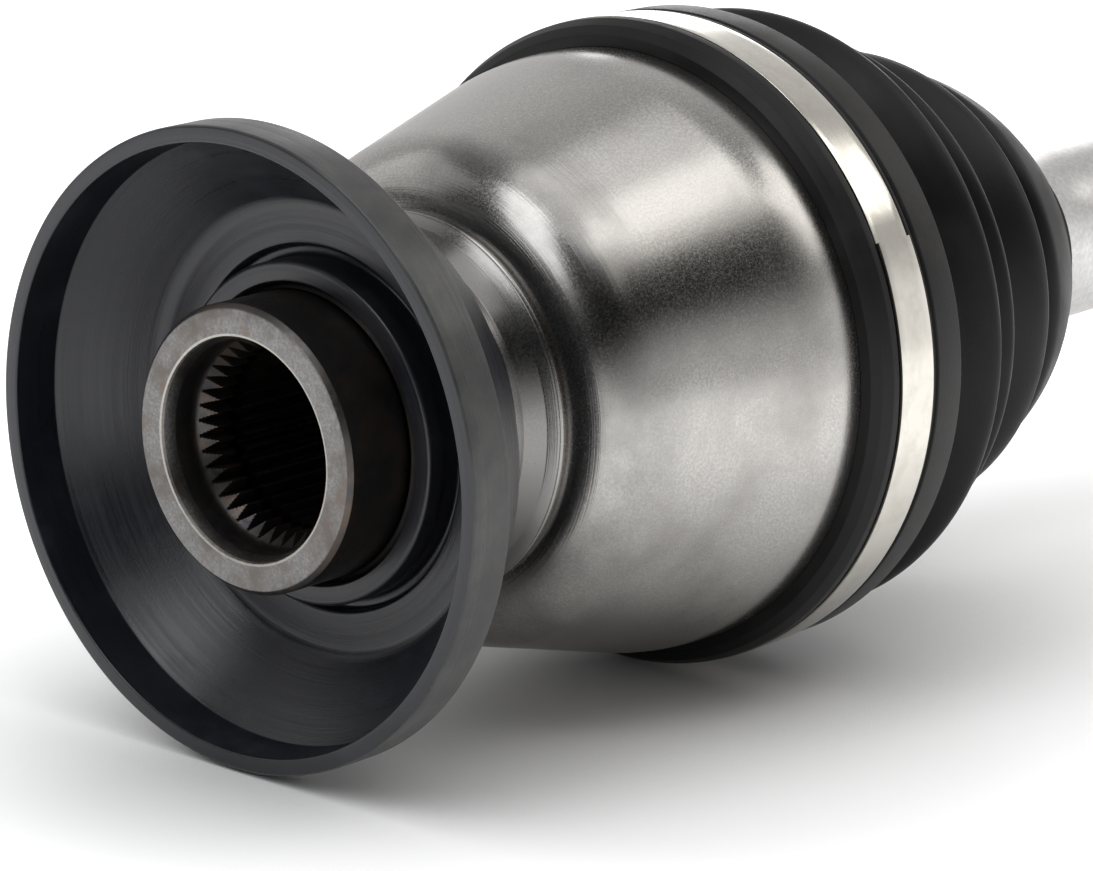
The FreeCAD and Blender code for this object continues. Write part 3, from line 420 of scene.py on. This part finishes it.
def worn_steel():
    """Face and chamfer of the stem's mouth: turned, touched by rust, and rubbed bare in places."""
    material, tree, shader = finish("worn_steel", Metallic=1.0)
    speckle = use(tree, BLOTCHES, Scale=2400.0, Low=0.3, High=0.72)
    stain = use(tree, BLOTCHES, Scale=160.0, Low=0.4, High=0.68)
    rust = use(tree, BLOTCHES, Scale=320.0, Low=0.55, High=0.75)
    lines = use(tree, TURNING_LINES, Fine=3500.0, Run=25.0)
    colour = blend_colours(tree, speckle, (0.15, 0.145, 0.143), (0.27, 0.262, 0.255))
    colour = blend_colours(tree, stain, colour, (0.125, 0.113, 0.104))
    colour = blend_colours(tree, sum_up(tree, "MULTIPLY", rust, 0.5), colour, (0.2, 0.14, 0.1))
    rough = blend_numbers(tree, speckle, 0.36, 0.46)
    wire(tree, shader, colour, rough, sum_up(tree, "ADD", lines, speckle), 0.2, 0.00003)
    return material


def shield_rubber():
    """Satin black rubber with faint turning marks, dust and a soft sheen."""
    material, tree, shader = finish("shield_rubber", Specular_IOR_Level=0.58)
    lines = use(tree, TURNING_LINES, Fine=1600.0, Run=10.0)
    fine = use(tree, TURNING_LINES, Fine=5200.0, Run=40.0)
    dust = use(tree, BLOTCHES, Scale=90.0, Low=0.45, High=0.75)
    grain = use(tree, BLOTCHES, Scale=2600.0, Low=0.3, High=0.7)
    scuff = use(tree, BLOTCHES, Scale=140.0, Low=0.4, High=0.66)
    colour = blend_colours(tree, dust, (0.013, 0.014, 0.0195), (0.027, 0.0285, 0.038))
    rim = use(tree, SHELL_MASK, From=0.0494, Soft=0.0002)
    worn = blend_colours(tree, scuff, (0.04, 0.04, 0.04), (0.085, 0.084, 0.08))
    worn = blend_colours(tree, sum_up(tree, "MULTIPLY", lines, 0.7), worn, (0.03, 0.03, 0.031))
    colour = blend_colours(tree, rim, colour, worn)
    rough = blend_numbers(tree, lines, 0.14, 0.5)
    rough = sum_up(tree, "ADD", rough, sum_up(tree, "MULTIPLY", dust, 0.08))
    height = sum_up(tree, "ADD", fine, sum_up(tree, "MULTIPLY", grain, 0.3))
    wire(tree, shader, colour, rough, height, 0.35, 0.00006)
    return material


def boot_rubber():
    """Moulded black rubber of the boots, smoother than the shield."""
    material, tree, shader = finish("boot_rubber", Specular_IOR_Level=0.28)
    dust = use(tree, BLOTCHES, Scale=70.0, Low=0.42, High=0.72)
    grain = use(tree, BLOTCHES, Scale=2200.0, Low=0.3, High=0.7)
    lines = use(tree, TURNING_LINES, Fine=900.0, Run=8.0)
    colour = blend_colours(tree, dust, (0.006, 0.006, 0.0065), (0.013, 0.0128, 0.0125))
    land = sum_up(tree, "MULTIPLY", stretch(tree, 106.0, 113.2, 0.3), sum_up(tree, "ADD", dust, 0.4))
    colour = blend_colours(tree, land, colour, (0.03, 0.028, 0.0265))
    rough = blend_numbers(tree, dust, 0.38, 0.52)
    rough = sum_up(tree, "ADD", rough, sum_up(tree, "MULTIPLY", grain, 0.06))
    height = sum_up(tree, "ADD", grain, sum_up(tree, "MULTIPLY", lines, 0.6))
    wire(tree, shader, colour, rough, height, 0.2, 0.00005)
    return material


def band_steel():
    """Polished stainless strip with faint rolling lines."""
    material, tree, shader = finish("band_steel", Metallic=1.0)
    lines = use(tree, TURNING_LINES, Fine=5200.0, Run=14.0)
    haze = use(tree, BLOTCHES, Scale=220.0, Low=0.4, High=0.7)
    colour = blend_colours(tree, haze, (0.7, 0.67, 0.61), (0.62, 0.59, 0.53))
    rough = sum_up(tree, "ADD", blend_numbers(tree, lines, 0.12, 0.2), sum_up(tree, "MULTIPLY", haze, 0.05))
    wire(tree, shader, colour, rough, lines, 0.1, 0.00002)
    return material


def bar_steel():
    """Satin ground bar."""
    material, tree, shader = finish("bar_steel", Metallic=1.0)
    lines = use(tree, TURNING_LINES, Fine=2600.0, Run=20.0)
    speckle = use(tree, BLOTCHES, Scale=1100.0, Low=0.35, High=0.7)
    colour = blend_colours(tree, speckle, (0.58, 0.57, 0.56), (0.7, 0.69, 0.68))
    rough = blend_numbers(tree, lines, 0.28, 0.4)
    wire(tree, shader, colour, rough, lines, 0.25, 0.00005)
    return material


def plain_steel(name, colour, rough):
    """Ground or oiled steel of the pieces inside the joints."""
    material, tree, shader = finish(name, Metallic=1.0)
    speckle = use(tree, BLOTCHES, Scale=1400.0, Low=0.35, High=0.7)
    darker = tuple(part * 0.75 for part in colour)
    tint = blend_colours(tree, speckle, darker, colour)
    wire(tree, shader, tint, blend_numbers(tree, speckle, rough, rough + 0.12), speckle, 0.1, 0.00003)
    return material


FINISHES = {
    "turned_steel": turned_steel(),
    "oxide_steel": oxide_steel(),
    "worn_steel": worn_steel(),
    "shield_rubber": shield_rubber(),
    "boot_rubber": boot_rubber(),
    "band_steel": band_steel(),
    "bar_steel": bar_steel(),
    "bearing_steel": plain_steel("bearing_steel", (0.62, 0.62, 0.63), 0.2),
    "bare_steel": plain_steel("bare_steel", (0.5, 0.475, 0.44), 0.4),
    "spring_steel": plain_steel("spring_steel", (0.2, 0.2, 0.21), 0.35),
    "plated_steel": plain_steel("plated_steel", (0.5, 0.5, 0.48), 0.3),
    "forged_steel": plain_steel("forged_steel", (0.42, 0.41, 0.39), 0.38),
}


# Pieces.

HOUSING_OUTSIDE = [
    (3.1, 17.85),
    (3.1, 21.7),
    (3.9, 22.5),
    (16.2, 22.5),
    (16.8, 23.7),
    (34.5, 23.7),
    (34.5, 26.3),
    (35.2, 27.0),
    (36.7, 27.0),
    (39.5, 29.1),
    (40.5, 30.7),
    (40.95, 30.75),
    (41.2, 30.4),
    (41.45, 30.75),
    (42.0, 30.7),
    (42.5, 30.1),
    (52.0, 42.0, 12.9, 1),
    (78.5, 49.2),
    (87.5, 50.4, 34.5, 1),
    (113.0, 50.4),
]
HOUSING_INSIDE = [(113.0, 21.0), (58.4, 21.0), (58.4, 15.6), (50.4, 15.6), (50.4, 14.5), (42.2, 14.5)]
HOUSING_RELIEF = [(41.4, 17.0), (38.2, 17.0)]
STEM_MOUTH = [(9.6, 16.5), (9.0, 16.66), (8.2, 16.7), (5.4, 16.7), (3.6, 17.33), (3.2, 17.5)]
STEM_TEETH_END = 38.2
LEAD_IN_END, LEAD_IN_LENGTH, LEAD_IN_HEIGHT = 12.2, 2.8, 2.2
TRACK_CORE_RADIUS = 21.0
TRACK_ROOF_RADIUS = 39.0
TRACK_HALF_WIDTH = 14.5

# Splines: number of teeth, radius of the crests in the bore, height and taper of the spaces.
STEM_SPLINE = (41, 14.5, 1.75, 0.8)
BAR_SPLINE = (28, 12.1, 1.1, 0.32)
STUB_SPLINE = (32, 14.0, 1.3, 0.32)
STEM_SHARES = (0, 0.09, 0.25, 0.41, 0.57, 0.73, 0.9)
SHAFT_SHARES = (0, 0.3, 0.42, 0.54, 0.66, 0.83)


def tripod_tracks(turns):
    """Radius of the cavity with three tracks: the roof's, or the distance at which the flat flanks lie."""
    third = 2 * np.pi / 3
    place = np.abs((turns + third / 2) % third - third / 2)
    flank = TRACK_HALF_WIDTH / np.maximum(np.sin(place), 1e-6)
    return np.maximum(TRACK_CORE_RADIUS, np.minimum(TRACK_ROOF_RADIUS, flank))


def make_housing():
    """Housing: the turned outside, three tracks inside, and the stem's bore with its tooth spaces. Where the
    lead-in cone meets the spaces the larger radius counts, which gives the ring of points."""
    outside = divided(eased(run(HOUSING_OUTSIDE), 0.3, closed=False), 3.0)
    teeth, crest = STEM_SPLINE[:2]
    turns = tooth_turns(teeth, STEM_SHARES)
    height = space(turns[0, : len(STEM_SHARES)], *STEM_SPLINE) - crest
    lead_stations = LEAD_IN_END - height / LEAD_IN_HEIGHT * LEAD_IN_LENGTH
    lead = np.stack([lead_stations, crest + height], axis=-1)[::-1]
    inside = np.vstack([HOUSING_INSIDE, HOUSING_RELIEF, [(STEM_TEETH_END, crest)], lead, STEM_MOUTH])
    points = np.vstack([outside, inside])
    stations, radii = points[:, :1] + 0 * turns, points[:, 1:] + 0 * turns
    number = np.arange(len(points))[:, None]
    first = len(outside)
    spline = first + len(HOUSING_INSIDE) + len(HOUSING_RELIEF)
    toothed = (number >= spline) & (number < spline + 1 + len(lead))
    tracked = (number == first) | (number == first + 1)
    radii = np.where(toothed, np.maximum(radii, space(turns, *STEM_SPLINE)), radii)
    radii = np.where(tracked, tripod_tracks(turns), radii)
    turned_band, oxide_band, worn_band, bare_band = range(4)
    stem = (points[:, 0] < 16.7) | (number[:, 0] > first + 2)
    bands = np.where(stem, oxide_band, turned_band)
    face = points[:, 0] < 3.15
    chamfer = number[:, 0] == len(points) - 3
    bands[face | chamfer] = worn_band
    bands[-2:] = bare_band
    return skin(
        "housing",
        places(stations, radii, turns),
        [FINISHES[name] for name in ("turned_steel", "oxide_steel", "worn_steel", "bare_steel")],
        bands.astype(np.int32),
    )


# Corners of the dust shield, each with the radius that rounds it.
SHIELD_OUTLINE = [
    ((0.0, 47.2), 0.4),
    ((0.0, 50.0), 0.5),
    ((7.4, 50.0), 0.3),
    ((8.2, 49.2), 0.5),
    ((24.0, 37.3), 2.0),
    ((24.0, 29.6), 1.0),
    ((34.2, 28.0), 0.6),
    ((34.2, 23.7), 0.1),
    ((15.6, 23.7), 0.3),
    ((15.6, 26.9), 0.7),
    ((22.0, 26.9), 0.8),
    ((22.0, 28.6), 0.8),
    ((19.8, 28.6), 0.8),
    ((19.8, 35.5), 4.0),
    ((8.1, 47.2), 0.5),
]
RUBBER_SHRINK = 0.12


def uneven_rubber(stations, radii, turns):
    """The shield's flare and rim a little smaller than drawn, by an amount that waves round the shaft."""
    rim = np.clip((radii - 46.5) / 3.0, 0, 1) * np.clip((9.0 - stations) / 9.0, 0, 1)
    radii = radii - rim * (RUBBER_SHRINK + 0.1 * ripple(turns, 3, (2, 3, 5, 11)))
    flare = np.clip((radii - 35.0) / 15.0, 0, 1)
    radii = radii - RUBBER_SHRINK * flare * (1 + ripple(turns, 4, (2, 3, 4)))
    return stations, radii


def make_shield():
    """Dust shield: a turned outline with a soft web and a flare, whose rim waves slightly."""
    points = np.array([corner for corner, edge in SHIELD_OUTLINE])
    points = eased(points, np.array([edge for corner, edge in SHIELD_OUTLINE]), steps=6)
    points = divided(np.vstack([points, points[:1]]), 2.5)[:-1]
    return turned("shield", points, "shield_rubber", 360, shape=uneven_rubber)


def boot_wall(outside, thickness):
    """A closed outline from an outside one: the way back runs inside it, less the thickness."""
    back = outside[::-1].copy()
    back[:, 1] -= thickness
    return np.vstack([outside, back])


def folds(knots):
    """Smooth outline through crests and valleys: half a wave of a cosine from each knot to the next."""
    knots = np.array(knots, float)
    parts = []
    for start, end in zip(knots, knots[1:]):
        share = np.linspace(0, 1, 11)[:-1]
        rise = (1 - np.cos(np.pi * share)) / 2
        stations = start[0] + (end[0] - start[0]) * share
        parts.append(np.stack([stations, start[1] + (end[1] - start[1]) * rise], -1))
    return np.vstack(parts + [knots[-1:]])


CUFF = [
    (91.0, 50.55),
    (91.1, 52.3),
    (92.2, 53.8),
    (94.0, 54.75),
    (95.4, 54.9),
    (95.6, 54.0),
    (104.1, 54.0),
    (104.3, 54.8),
    (105.1, 54.85),
    (105.3, 54.3),
    (105.9, 54.3),
    (106.1, 54.9),
    (112.2, 54.9),
    (112.9, 54.4),
]
FIRST_FOLDS = [(113.6, 53.4), (118.8, 46.8), (126.4, 52.8), (132.6, 46.0), (136.7, 48.4), (144.0, 36.5)]
LAST_FOLDS = [(144.0, 36.5), (156.8, 41.9), (162.2, 34.2)]
LAST_CREST = [
    (162.2, 34.2),
    (164.0, 37.1),
    (166.6, 38.0, 2.4, 1),
    (179.2, 31.9, 45.0, 1),
    (181.2, 27.0, 3.4, 1),
]
BOOT_COLLAR = [
    (182.0, 21.6),
    (185.3, 21.6),
    (185.5, 20.8),
    (192.5, 20.8),
    (192.7, 21.6),
    (195.0, 21.6),
    (195.5, 21.1),
]
CUFF_MOUTH_RADIUS = 50.45
COLLAR_BORE_RADIUS = 17.95


def make_inner_boot():
    """Inboard boot in two pieces that meet in a valley: the cuff with its first folds, and the rest."""
    cuff = eased(np.array(CUFF, float), 0.35, closed=False)
    first = np.vstack([cuff, folds(FIRST_FOLDS)])
    wall = boot_wall(first, 3.0)
    inner = np.arange(len(wall)) >= len(first)
    wall[inner & (wall[:, 0] < 113.4), 1] = CUFF_MOUTH_RADIUS
    front = turned("inboard_boot_cuff", wall, "boot_rubber", 320)
    crest = divided(run(LAST_CREST), 1.2)
    last = np.vstack([folds(LAST_FOLDS)[:-1], crest, BOOT_COLLAR])
    wall = boot_wall(last, 2.6)
    inner = np.arange(len(wall)) >= len(last)
    wall[inner & (wall[:, 0] > 181.9), 1] = COLLAR_BORE_RADIUS
    back = turned("inboard_boot_collar", wall, "boot_rubber", 256)
    return front, back


OUTER_COLLAR = [
    (425.5, 21.2),
    (426.0, 21.6),
    (428.3, 21.6),
    (428.5, 20.8),
    (435.5, 20.8),
    (435.7, 21.6),
    (438.5, 21.6),
]
OUTER_FOLDS = [
    (438.5, 21.6),
    (450.5, 29.3),
    (457.0, 25.0),
    (465.0, 35.8),
    (473.0, 31.0),
    (481.0, 41.8),
    (489.0, 37.4),
    (500.0, 44.3),
]
OUTER_CUFF = [
    (501.0, 44.6),
    (508.1, 44.6),
    (508.3, 43.8),
    (516.7, 43.8),
    (516.9, 44.6),
    (522.2, 44.6),
    (522.5, 44.2),
]
OUTER_CUFF_BORE_RADIUS = 40.45


def make_outer_boot():
    """Outboard boot: collar, folds that rise and the cuff on the bell."""
    outside = np.vstack([OUTER_COLLAR, folds(OUTER_FOLDS)[1:], OUTER_CUFF])
    wall = boot_wall(outside, 2.6)
    inner = np.arange(len(wall)) >= len(outside)
    wall[inner & (wall[:, 0] < 438.5), 1] = COLLAR_BORE_RADIUS
    wall[inner & (wall[:, 0] > 500.6), 1] = OUTER_CUFF_BORE_RADIUS
    return turned("outboard_boot", wall, "boot_rubber", 256)


BAND_WIDTH, BAND_THICKNESS = 8.4, 0.8
LAP_TURN, LAP_ANGLE = 64.3, 100.0
LAP_HEIGHT, LAP_DIP = 0.42, 0.14


def make_large_band(name, station, radius):
    """Flat band. From the lap's turn on, a second layer covers it: its end stands up in one step, and its far
    end sinks away slowly."""
    low, far = radius - BAND_THICKNESS, station + BAND_WIDTH
    points = np.array([(station, low), (station, radius), (far, radius), (far, low)])
    points = divided(eased(points, 0.12), 1.4)
    step = math.radians(LAP_TURN)
    near = step + np.array([-3, -1.5, -0.6, -0.05, 0.0, 0.3, 1.0, 2.0]) * math.pi / 180
    turns = np.sort(np.concatenate([np.linspace(0, 2 * np.pi, 300, endpoint=False), near]))[None]
    stations, radii = points[:, :1] + 0 * turns, points[:, 1:] + 0 * turns
    past = np.degrees(turns - step)
    sinking = np.clip(1 - (past - LAP_ANGLE * 0.6) / (LAP_ANGLE * 0.4), 0, 1)
    cover = sinking * (past >= 0)
    dip = np.exp(-((np.minimum(past, 0) / 4.0) ** 2)) * (past < 0)
    outer = points[:, 1:] > radius - 0.5
    radii = radii + outer * (LAP_HEIGHT * cover - LAP_DIP * dip)
    return skin(name, places(stations, radii, turns), [FINISHES["band_steel"]], crease=28)


SMALL_BAND_WIDTH = 6.9
SMALL_BAND_BORE_RADIUS, SMALL_BAND_RADIUS = 20.84, 21.6
EAR_TURN, EAR_HEIGHT, EAR_HALF_WIDTH, EAR_FLANK = 240, 3.7, 3.4, 0.9


def make_small_band(name, station):
    """Narrow band with one pinched ear on the far side: a hump in the radius of both faces."""
    low, high, far = SMALL_BAND_BORE_RADIUS, SMALL_BAND_RADIUS, station + SMALL_BAND_WIDTH
    points = divided(eased(np.array([(station, low), (station, high), (far, high), (far, low)]), 0.12), 1.4)
    turns = np.concatenate([np.linspace(-16, 16, 81), np.linspace(16, 344, 150)[1:-1]]) * math.pi / 180
    turns = turns[None]
    behind = np.cos(turns) < 0
    across = np.abs(high * np.sin(turns)) + 100 * behind
    hump = np.clip((EAR_HALF_WIDTH - across) / EAR_FLANK, 0, 1)
    hump = hump * hump * (3 - 2 * hump)
    stations, radii = points[:, :1] + 0 * turns, points[:, 1:] + 0 * turns
    grid = places(stations, radii + EAR_HEIGHT * hump, turns + math.radians(EAR_TURN))
    return skin(name, grid, [FINISHES["band_steel"]], crease=28)


def external_teeth(radii, turns, spline):
    """Radius of a splined shaft, whose teeth fill the spaces of the bore."""
    return np.minimum(radii, space(turns, *spline))


BAR_IN_SPIDER = [
    (71.3, 0.0),
    (71.3, 12.0),
    (72.5, 13.2),
    (73.8, 13.2),
    (73.8, 12.0),
    (75.4, 12.0),
    (75.4, 13.2),
    (99.5, 13.2),
]
BAR_BETWEEN = [
    (99.5, 12.1),
    (101.0, 11.2),
    (106.5, 11.2),
    (108.5, 12.0),
    (169.0, 12.0),
    (181.0, 17.9),
    (197.0, 17.9),
    (199.0, 17.0),
    (422.0, 17.0),
    (424.0, 17.9),
    (440.0, 17.9),
    (452.0, 12.0),
    (496.5, 12.0),
    (498.5, 11.2),
    (504.0, 11.2),
    (505.5, 12.1),
]
BAR_IN_RACE = [
    (505.5, 13.2),
    (529.6, 13.2),
    (529.6, 12.0),
    (531.2, 12.0),
    (531.2, 13.2),
    (532.5, 13.2),
    (533.7, 12.0),
    (533.7, 0.0),
]


def make_bar():
    """Bar: turned outline from tip to tip with raised boot seats and a spline at each end."""
    points = divided(np.array(BAR_IN_SPIDER + BAR_BETWEEN + BAR_IN_RACE), 12.0)
    turns = tooth_turns(BAR_SPLINE[0], SHAFT_SHARES)
    stations, radii = points[:, :1] + 0 * turns, points[:, 1:] + 0 * turns
    ends = (stations < 99.6) | (stations > 505.4)
    radii = np.where(ends, external_teeth(radii, turns, BAR_SPLINE), radii)
    return skin("bar", places(stations, radii, turns), [FINISHES["bar_steel"]], round_too=False)


BELL_CENTRE = 517.5
BOWL_RADIUS, BOWL_DEPTH = 31, 24
BALL_CIRCLE_RADIUS, BALL_GROOVE_RADIUS = 27.5, 8.2
STUB_SPLINE_START, STUB_SPLINE_END = 43, 77

# Outside of the bell and its stub, with stations from the bell's centre.
BELL_OUTSIDE = [
    (-15, 30.1),
    (-15, 39.4),
    (-14, 40.4),
    (17, 40.4),
    (30.5, 30.0),
    (33, 27.5),
    (33, 17.5),
    (41, 17.5),
    (41, 15.3),
    (STUB_SPLINE_START, 15.3),
    (STUB_SPLINE_START, 15.29),
    (STUB_SPLINE_END, 15.29),
    (STUB_SPLINE_END, 11),
    (99.5, 11.0),
    (101, 9.5),
    (101, 0),
]


def ball_grooves(turns):
    """Radius of the six ball grooves: of a circle round each ball's middle, and 0 beside it."""
    sixth = np.pi / 3
    place = np.abs((turns + sixth / 2) % sixth - sixth / 2)
    across = BALL_CIRCLE_RADIUS * np.sin(place)
    reach = np.sqrt(np.maximum(BALL_GROOVE_RADIUS**2 - across**2, 0))
    return np.where(across < BALL_GROOVE_RADIUS, BALL_CIRCLE_RADIUS * np.cos(place) + reach, 0)


def make_bell():
    """Bell of the outboard joint with its stub: six ball grooves inside, a spline and a plain thread
    outside."""
    outside = eased(np.array(BELL_OUTSIDE) + (BELL_CENTRE, 0), 0.5, closed=False)
    lean = np.radians(np.linspace(50.7, -24.8, 16))
    bowl = np.stack([BELL_CENTRE + BOWL_RADIUS * np.sin(lean), BOWL_RADIUS * np.cos(lean)], axis=-1)
    inside = np.vstack([[(BELL_CENTRE + BOWL_DEPTH, 0)], bowl])
    points = np.vstack([inside, outside])
    turns = tooth_turns(STUB_SPLINE[0], SHAFT_SHARES)
    stations, radii = points[:, :1] + 0 * turns, points[:, 1:] + 0 * turns
    from_centre = stations - BELL_CENTRE
    number = np.arange(len(points))[:, None]
    grooved = (number > 0) & (number <= len(inside)) & (from_centre < 20)
    radii = np.where(grooved, np.maximum(radii, ball_grooves(turns)), radii)
    on_spline = (from_centre >= STUB_SPLINE_START - 0.1) & (from_centre <= STUB_SPLINE_END + 0.1)
    radii = np.where(on_spline & (radii > 12), external_teeth(radii, turns, STUB_SPLINE), radii)
    return skin("bell", places(stations, radii, turns), [FINISHES["forged_steel"]], round_too=False)


housing = make_housing()
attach(housing, "inboard_housing")
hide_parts("tulip_housing")

shield = make_shield()
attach(shield, "inboard_housing")
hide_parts("dust_shield")

cuff, collar = make_inner_boot()
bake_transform(cuff)
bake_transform(collar)
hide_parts("inner_boot")

outer_boot = make_outer_boot()
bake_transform(outer_boot)
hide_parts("outer_boot")

for name, node, station, radius, body in (
    ("inboard_large_band", "inner_large_band", 95.65, 54.9, "inboard_housing"),
    ("outboard_large_band", "outer_large_band", 508.3, 44.6, "outboard_joint"),
):
    band = make_large_band(name, station, radius)
    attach(band, body)
    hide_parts(node)

for name, node, station in (
    ("inboard_small_band", "inner_small_band", 185.55),
    ("outboard_small_band", "outer_small_band", 428.55),
):
    band = make_small_band(name, station)
    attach(band, "shaft")
    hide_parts(node)

bar = make_bar()
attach(bar, "shaft")
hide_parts("shaft_bar")

bell = make_bell()
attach(bell, "outboard_joint")
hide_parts("outer_housing")

for part in frame["record"]["subparts"]:
    node = frame["nodes"][part["node"]]
    if not node.hide_render:
        node.data.materials.clear()
        node.data.materials.append(FINISHES[part["material_slot"]])


# Floor, light and camera.


def make_floor():
    """Pale floor that touches the shield's rim and the boot's cuff. To the camera and in reflections it adds
    painted light of its own, less where the shaft hides the sky, which paints the shade under the shaft, so
    that it is white where no shadow falls."""
    material, tree, shader = finish("floor", Roughness=0.6)
    shader.inputs["Base Color"].default_value = (0.8, 0.8, 0.8, 1)
    shader.inputs["Specular IOR Level"].default_value = 0.15
    shader.inputs["Emission Color"].default_value = (1, 1, 1, 1)
    seen = put(tree, "LightPath")
    direct = sum_up(tree, "ADD", seen.outputs["Is Camera Ray"], seen.outputs["Is Glossy Ray"], clamp=True)
    open_sky = put(tree, "AmbientOcclusion", {"samples": 8}, Distance=0.1).outputs["AO"]
    unshaded = sum_up(tree, "MULTIPLY", sum_up(tree, "POWER", open_sky, 3.0), 0.85)
    glow = sum_up(tree, "MULTIPLY", direct, unshaded)
    tree.links.new(glow, shader.inputs["Emission Strength"])
    rim_radius, cuff_radius, apart = 50.0, 55.4, 100.0
    lean = math.atan2(cuff_radius - rim_radius, apart)
    mesh = bpy.data.meshes.new("floor")
    far = 6.0
    mesh.from_pydata([(-far, -far, 0), (far, -far, 0), (far, far, 0), (-far, far, 0)], [], [(0, 1, 2, 3)])
    mesh.materials.append(material)
    floor = bpy.data.objects.new("floor", mesh)
    floor.matrix_world = Matrix.Translation((-0.0054, 0, -0.0502)) @ Matrix.Rotation(lean, 4, "Y")
    bpy.context.collection.objects.link(floor)


WHITE, COOL, WARM = (1, 1, 1), (0.97, 0.985, 1), (1, 0.985, 0.955)
LAMP_TARGET = (0.05, 0, 0)

# Lamps: name, place, width, height, power and colour.
LAMPS = [
    ("front", (-0.83, 0, 0.88), 0.55, 0.95, 4.8, COOL),
    ("overhead", (0.05, -0.26, 1.22), 1.25, 1.0, 4.2, WHITE),
    ("near", (0.31, -0.65, 1.04), 0.9, 0.5, 1.45, WARM),
    ("right", (0.95, -0.52, 0.7), 0.5, 0.5, 1.3, WARM),
    ("outboard", (1.1, 0.61, 0.3), 0.5, 0.5, 1.57, WHITE),
    ("far", (-0.47, 0.9, 0.7), 0.9, 0.8, 1.1, WHITE),
]


def make_lamp(name, place, width, height, power, colour):
    """A large soft lamp that faces the shaft's inboard joint."""
    lamp = bpy.data.lights.new(name, "AREA")
    lamp.shape = "RECTANGLE"
    lamp.size, lamp.size_y = width, height
    lamp.energy = power
    lamp.color = colour
    stand = bpy.data.objects.new(name, lamp)
    stand.location = place
    stand.rotation_euler = (Vector(LAMP_TARGET) - Vector(place)).to_track_quat("-Z", "Y").to_euler()
    bpy.context.collection.objects.link(stand)


WALL_LEVEL = 0.7
FAR_AND_OUTBOARD = (0.75, 0.66, 0)
LOW_AND_NEAR = (0.3, -0.95, -2.5)


def make_world():
    """Soft surroundings: white to the camera. For everything else grey on the far and outboard side, and
    with a pale band low on the near side."""
    world = bpy.data.worlds.new("studio")
    bpy.context.scene.world = world
    world.use_nodes = True
    tree = world.node_tree
    ground = tree.nodes["Background"]
    ground.inputs["Color"].default_value = (1, 1, 1, 1)
    way = put(tree, "TexCoord").outputs["Generated"]
    levels = []
    for towards, full in ((FAR_AND_OUTBOARD, 0.8), (LOW_AND_NEAR, 0.5)):
        share = put(tree, "VectorMath", {"operation": "DOT_PRODUCT"}, at_0=way, at_1=towards).outputs["Value"]
        level = put(tree, "MapRange", Value=share, From_Min=-0.2, From_Max=full, To_Max=WALL_LEVEL)
        levels.append(level.outputs[0])
    level = sum_up(tree, "ADD", *levels)
    seen = put(tree, "LightPath").outputs["Is Camera Ray"]
    strength = blend_numbers(tree, seen, 0.0, 1.0)
    tree.links.new(level, strength.node.inputs["To Min"])
    tree.links.new(strength, ground.inputs["Strength"])


# The photograph's camera, worked out from nine circles of the shaft: picture size, focal length and the
# place where the lens looks, in pixels. MIDDLE is where the middle of the shield's front plane lies before
# the camera, in millimetres to the right, down and forward, and ALONG is how the shaft points.
PICTURE_WIDTH, PICTURE_HEIGHT = 1093, 871
FOCAL_LENGTH, LENS_X, LENS_Y = 3915, 544, 417
MIDDLE = np.array([-47.45, 5.65, 586.15])
ALONG = np.array([0.6543, -0.1888, 0.7323])
CAMERA_TILT = 14.46


def make_camera():
    """Camera of the photograph, placed by how it sees the shaft."""
    along = ALONG / np.linalg.norm(ALONG)
    tilt = math.radians(CAMERA_TILT)
    up = np.array([0.0, -math.cos(tilt), -math.sin(tilt)])
    up -= along * (up @ along)
    up /= np.linalg.norm(up)
    axes = np.stack([along, np.cross(up, along), up])
    place = np.array([-ORIGIN_STATION, 0, 0]) - axes @ MIDDLE
    camera = bpy.data.cameras.new("camera")
    camera.sensor_width = 36.0
    camera.lens = FOCAL_LENGTH / PICTURE_WIDTH * camera.sensor_width
    camera.shift_x = (PICTURE_WIDTH / 2 - LENS_X) / PICTURE_WIDTH
    camera.shift_y = (LENS_Y - PICTURE_HEIGHT / 2) / PICTURE_WIDTH
    camera.clip_start = 0.01
    stand = bpy.data.objects.new("camera", camera)
    turn = Matrix((axes[:, 0], -axes[:, 1], -axes[:, 2])).transposed()
    stand.matrix_world = Matrix.Translation(place * MM) @ turn.to_4x4()
    bpy.context.collection.objects.link(stand)
    bpy.context.scene.camera = stand


make_floor()
make_world()
for lamp in LAMPS:
    make_lamp(*lamp)
make_camera()
bpy.context.scene.view_settings.view_transform = "Standard"
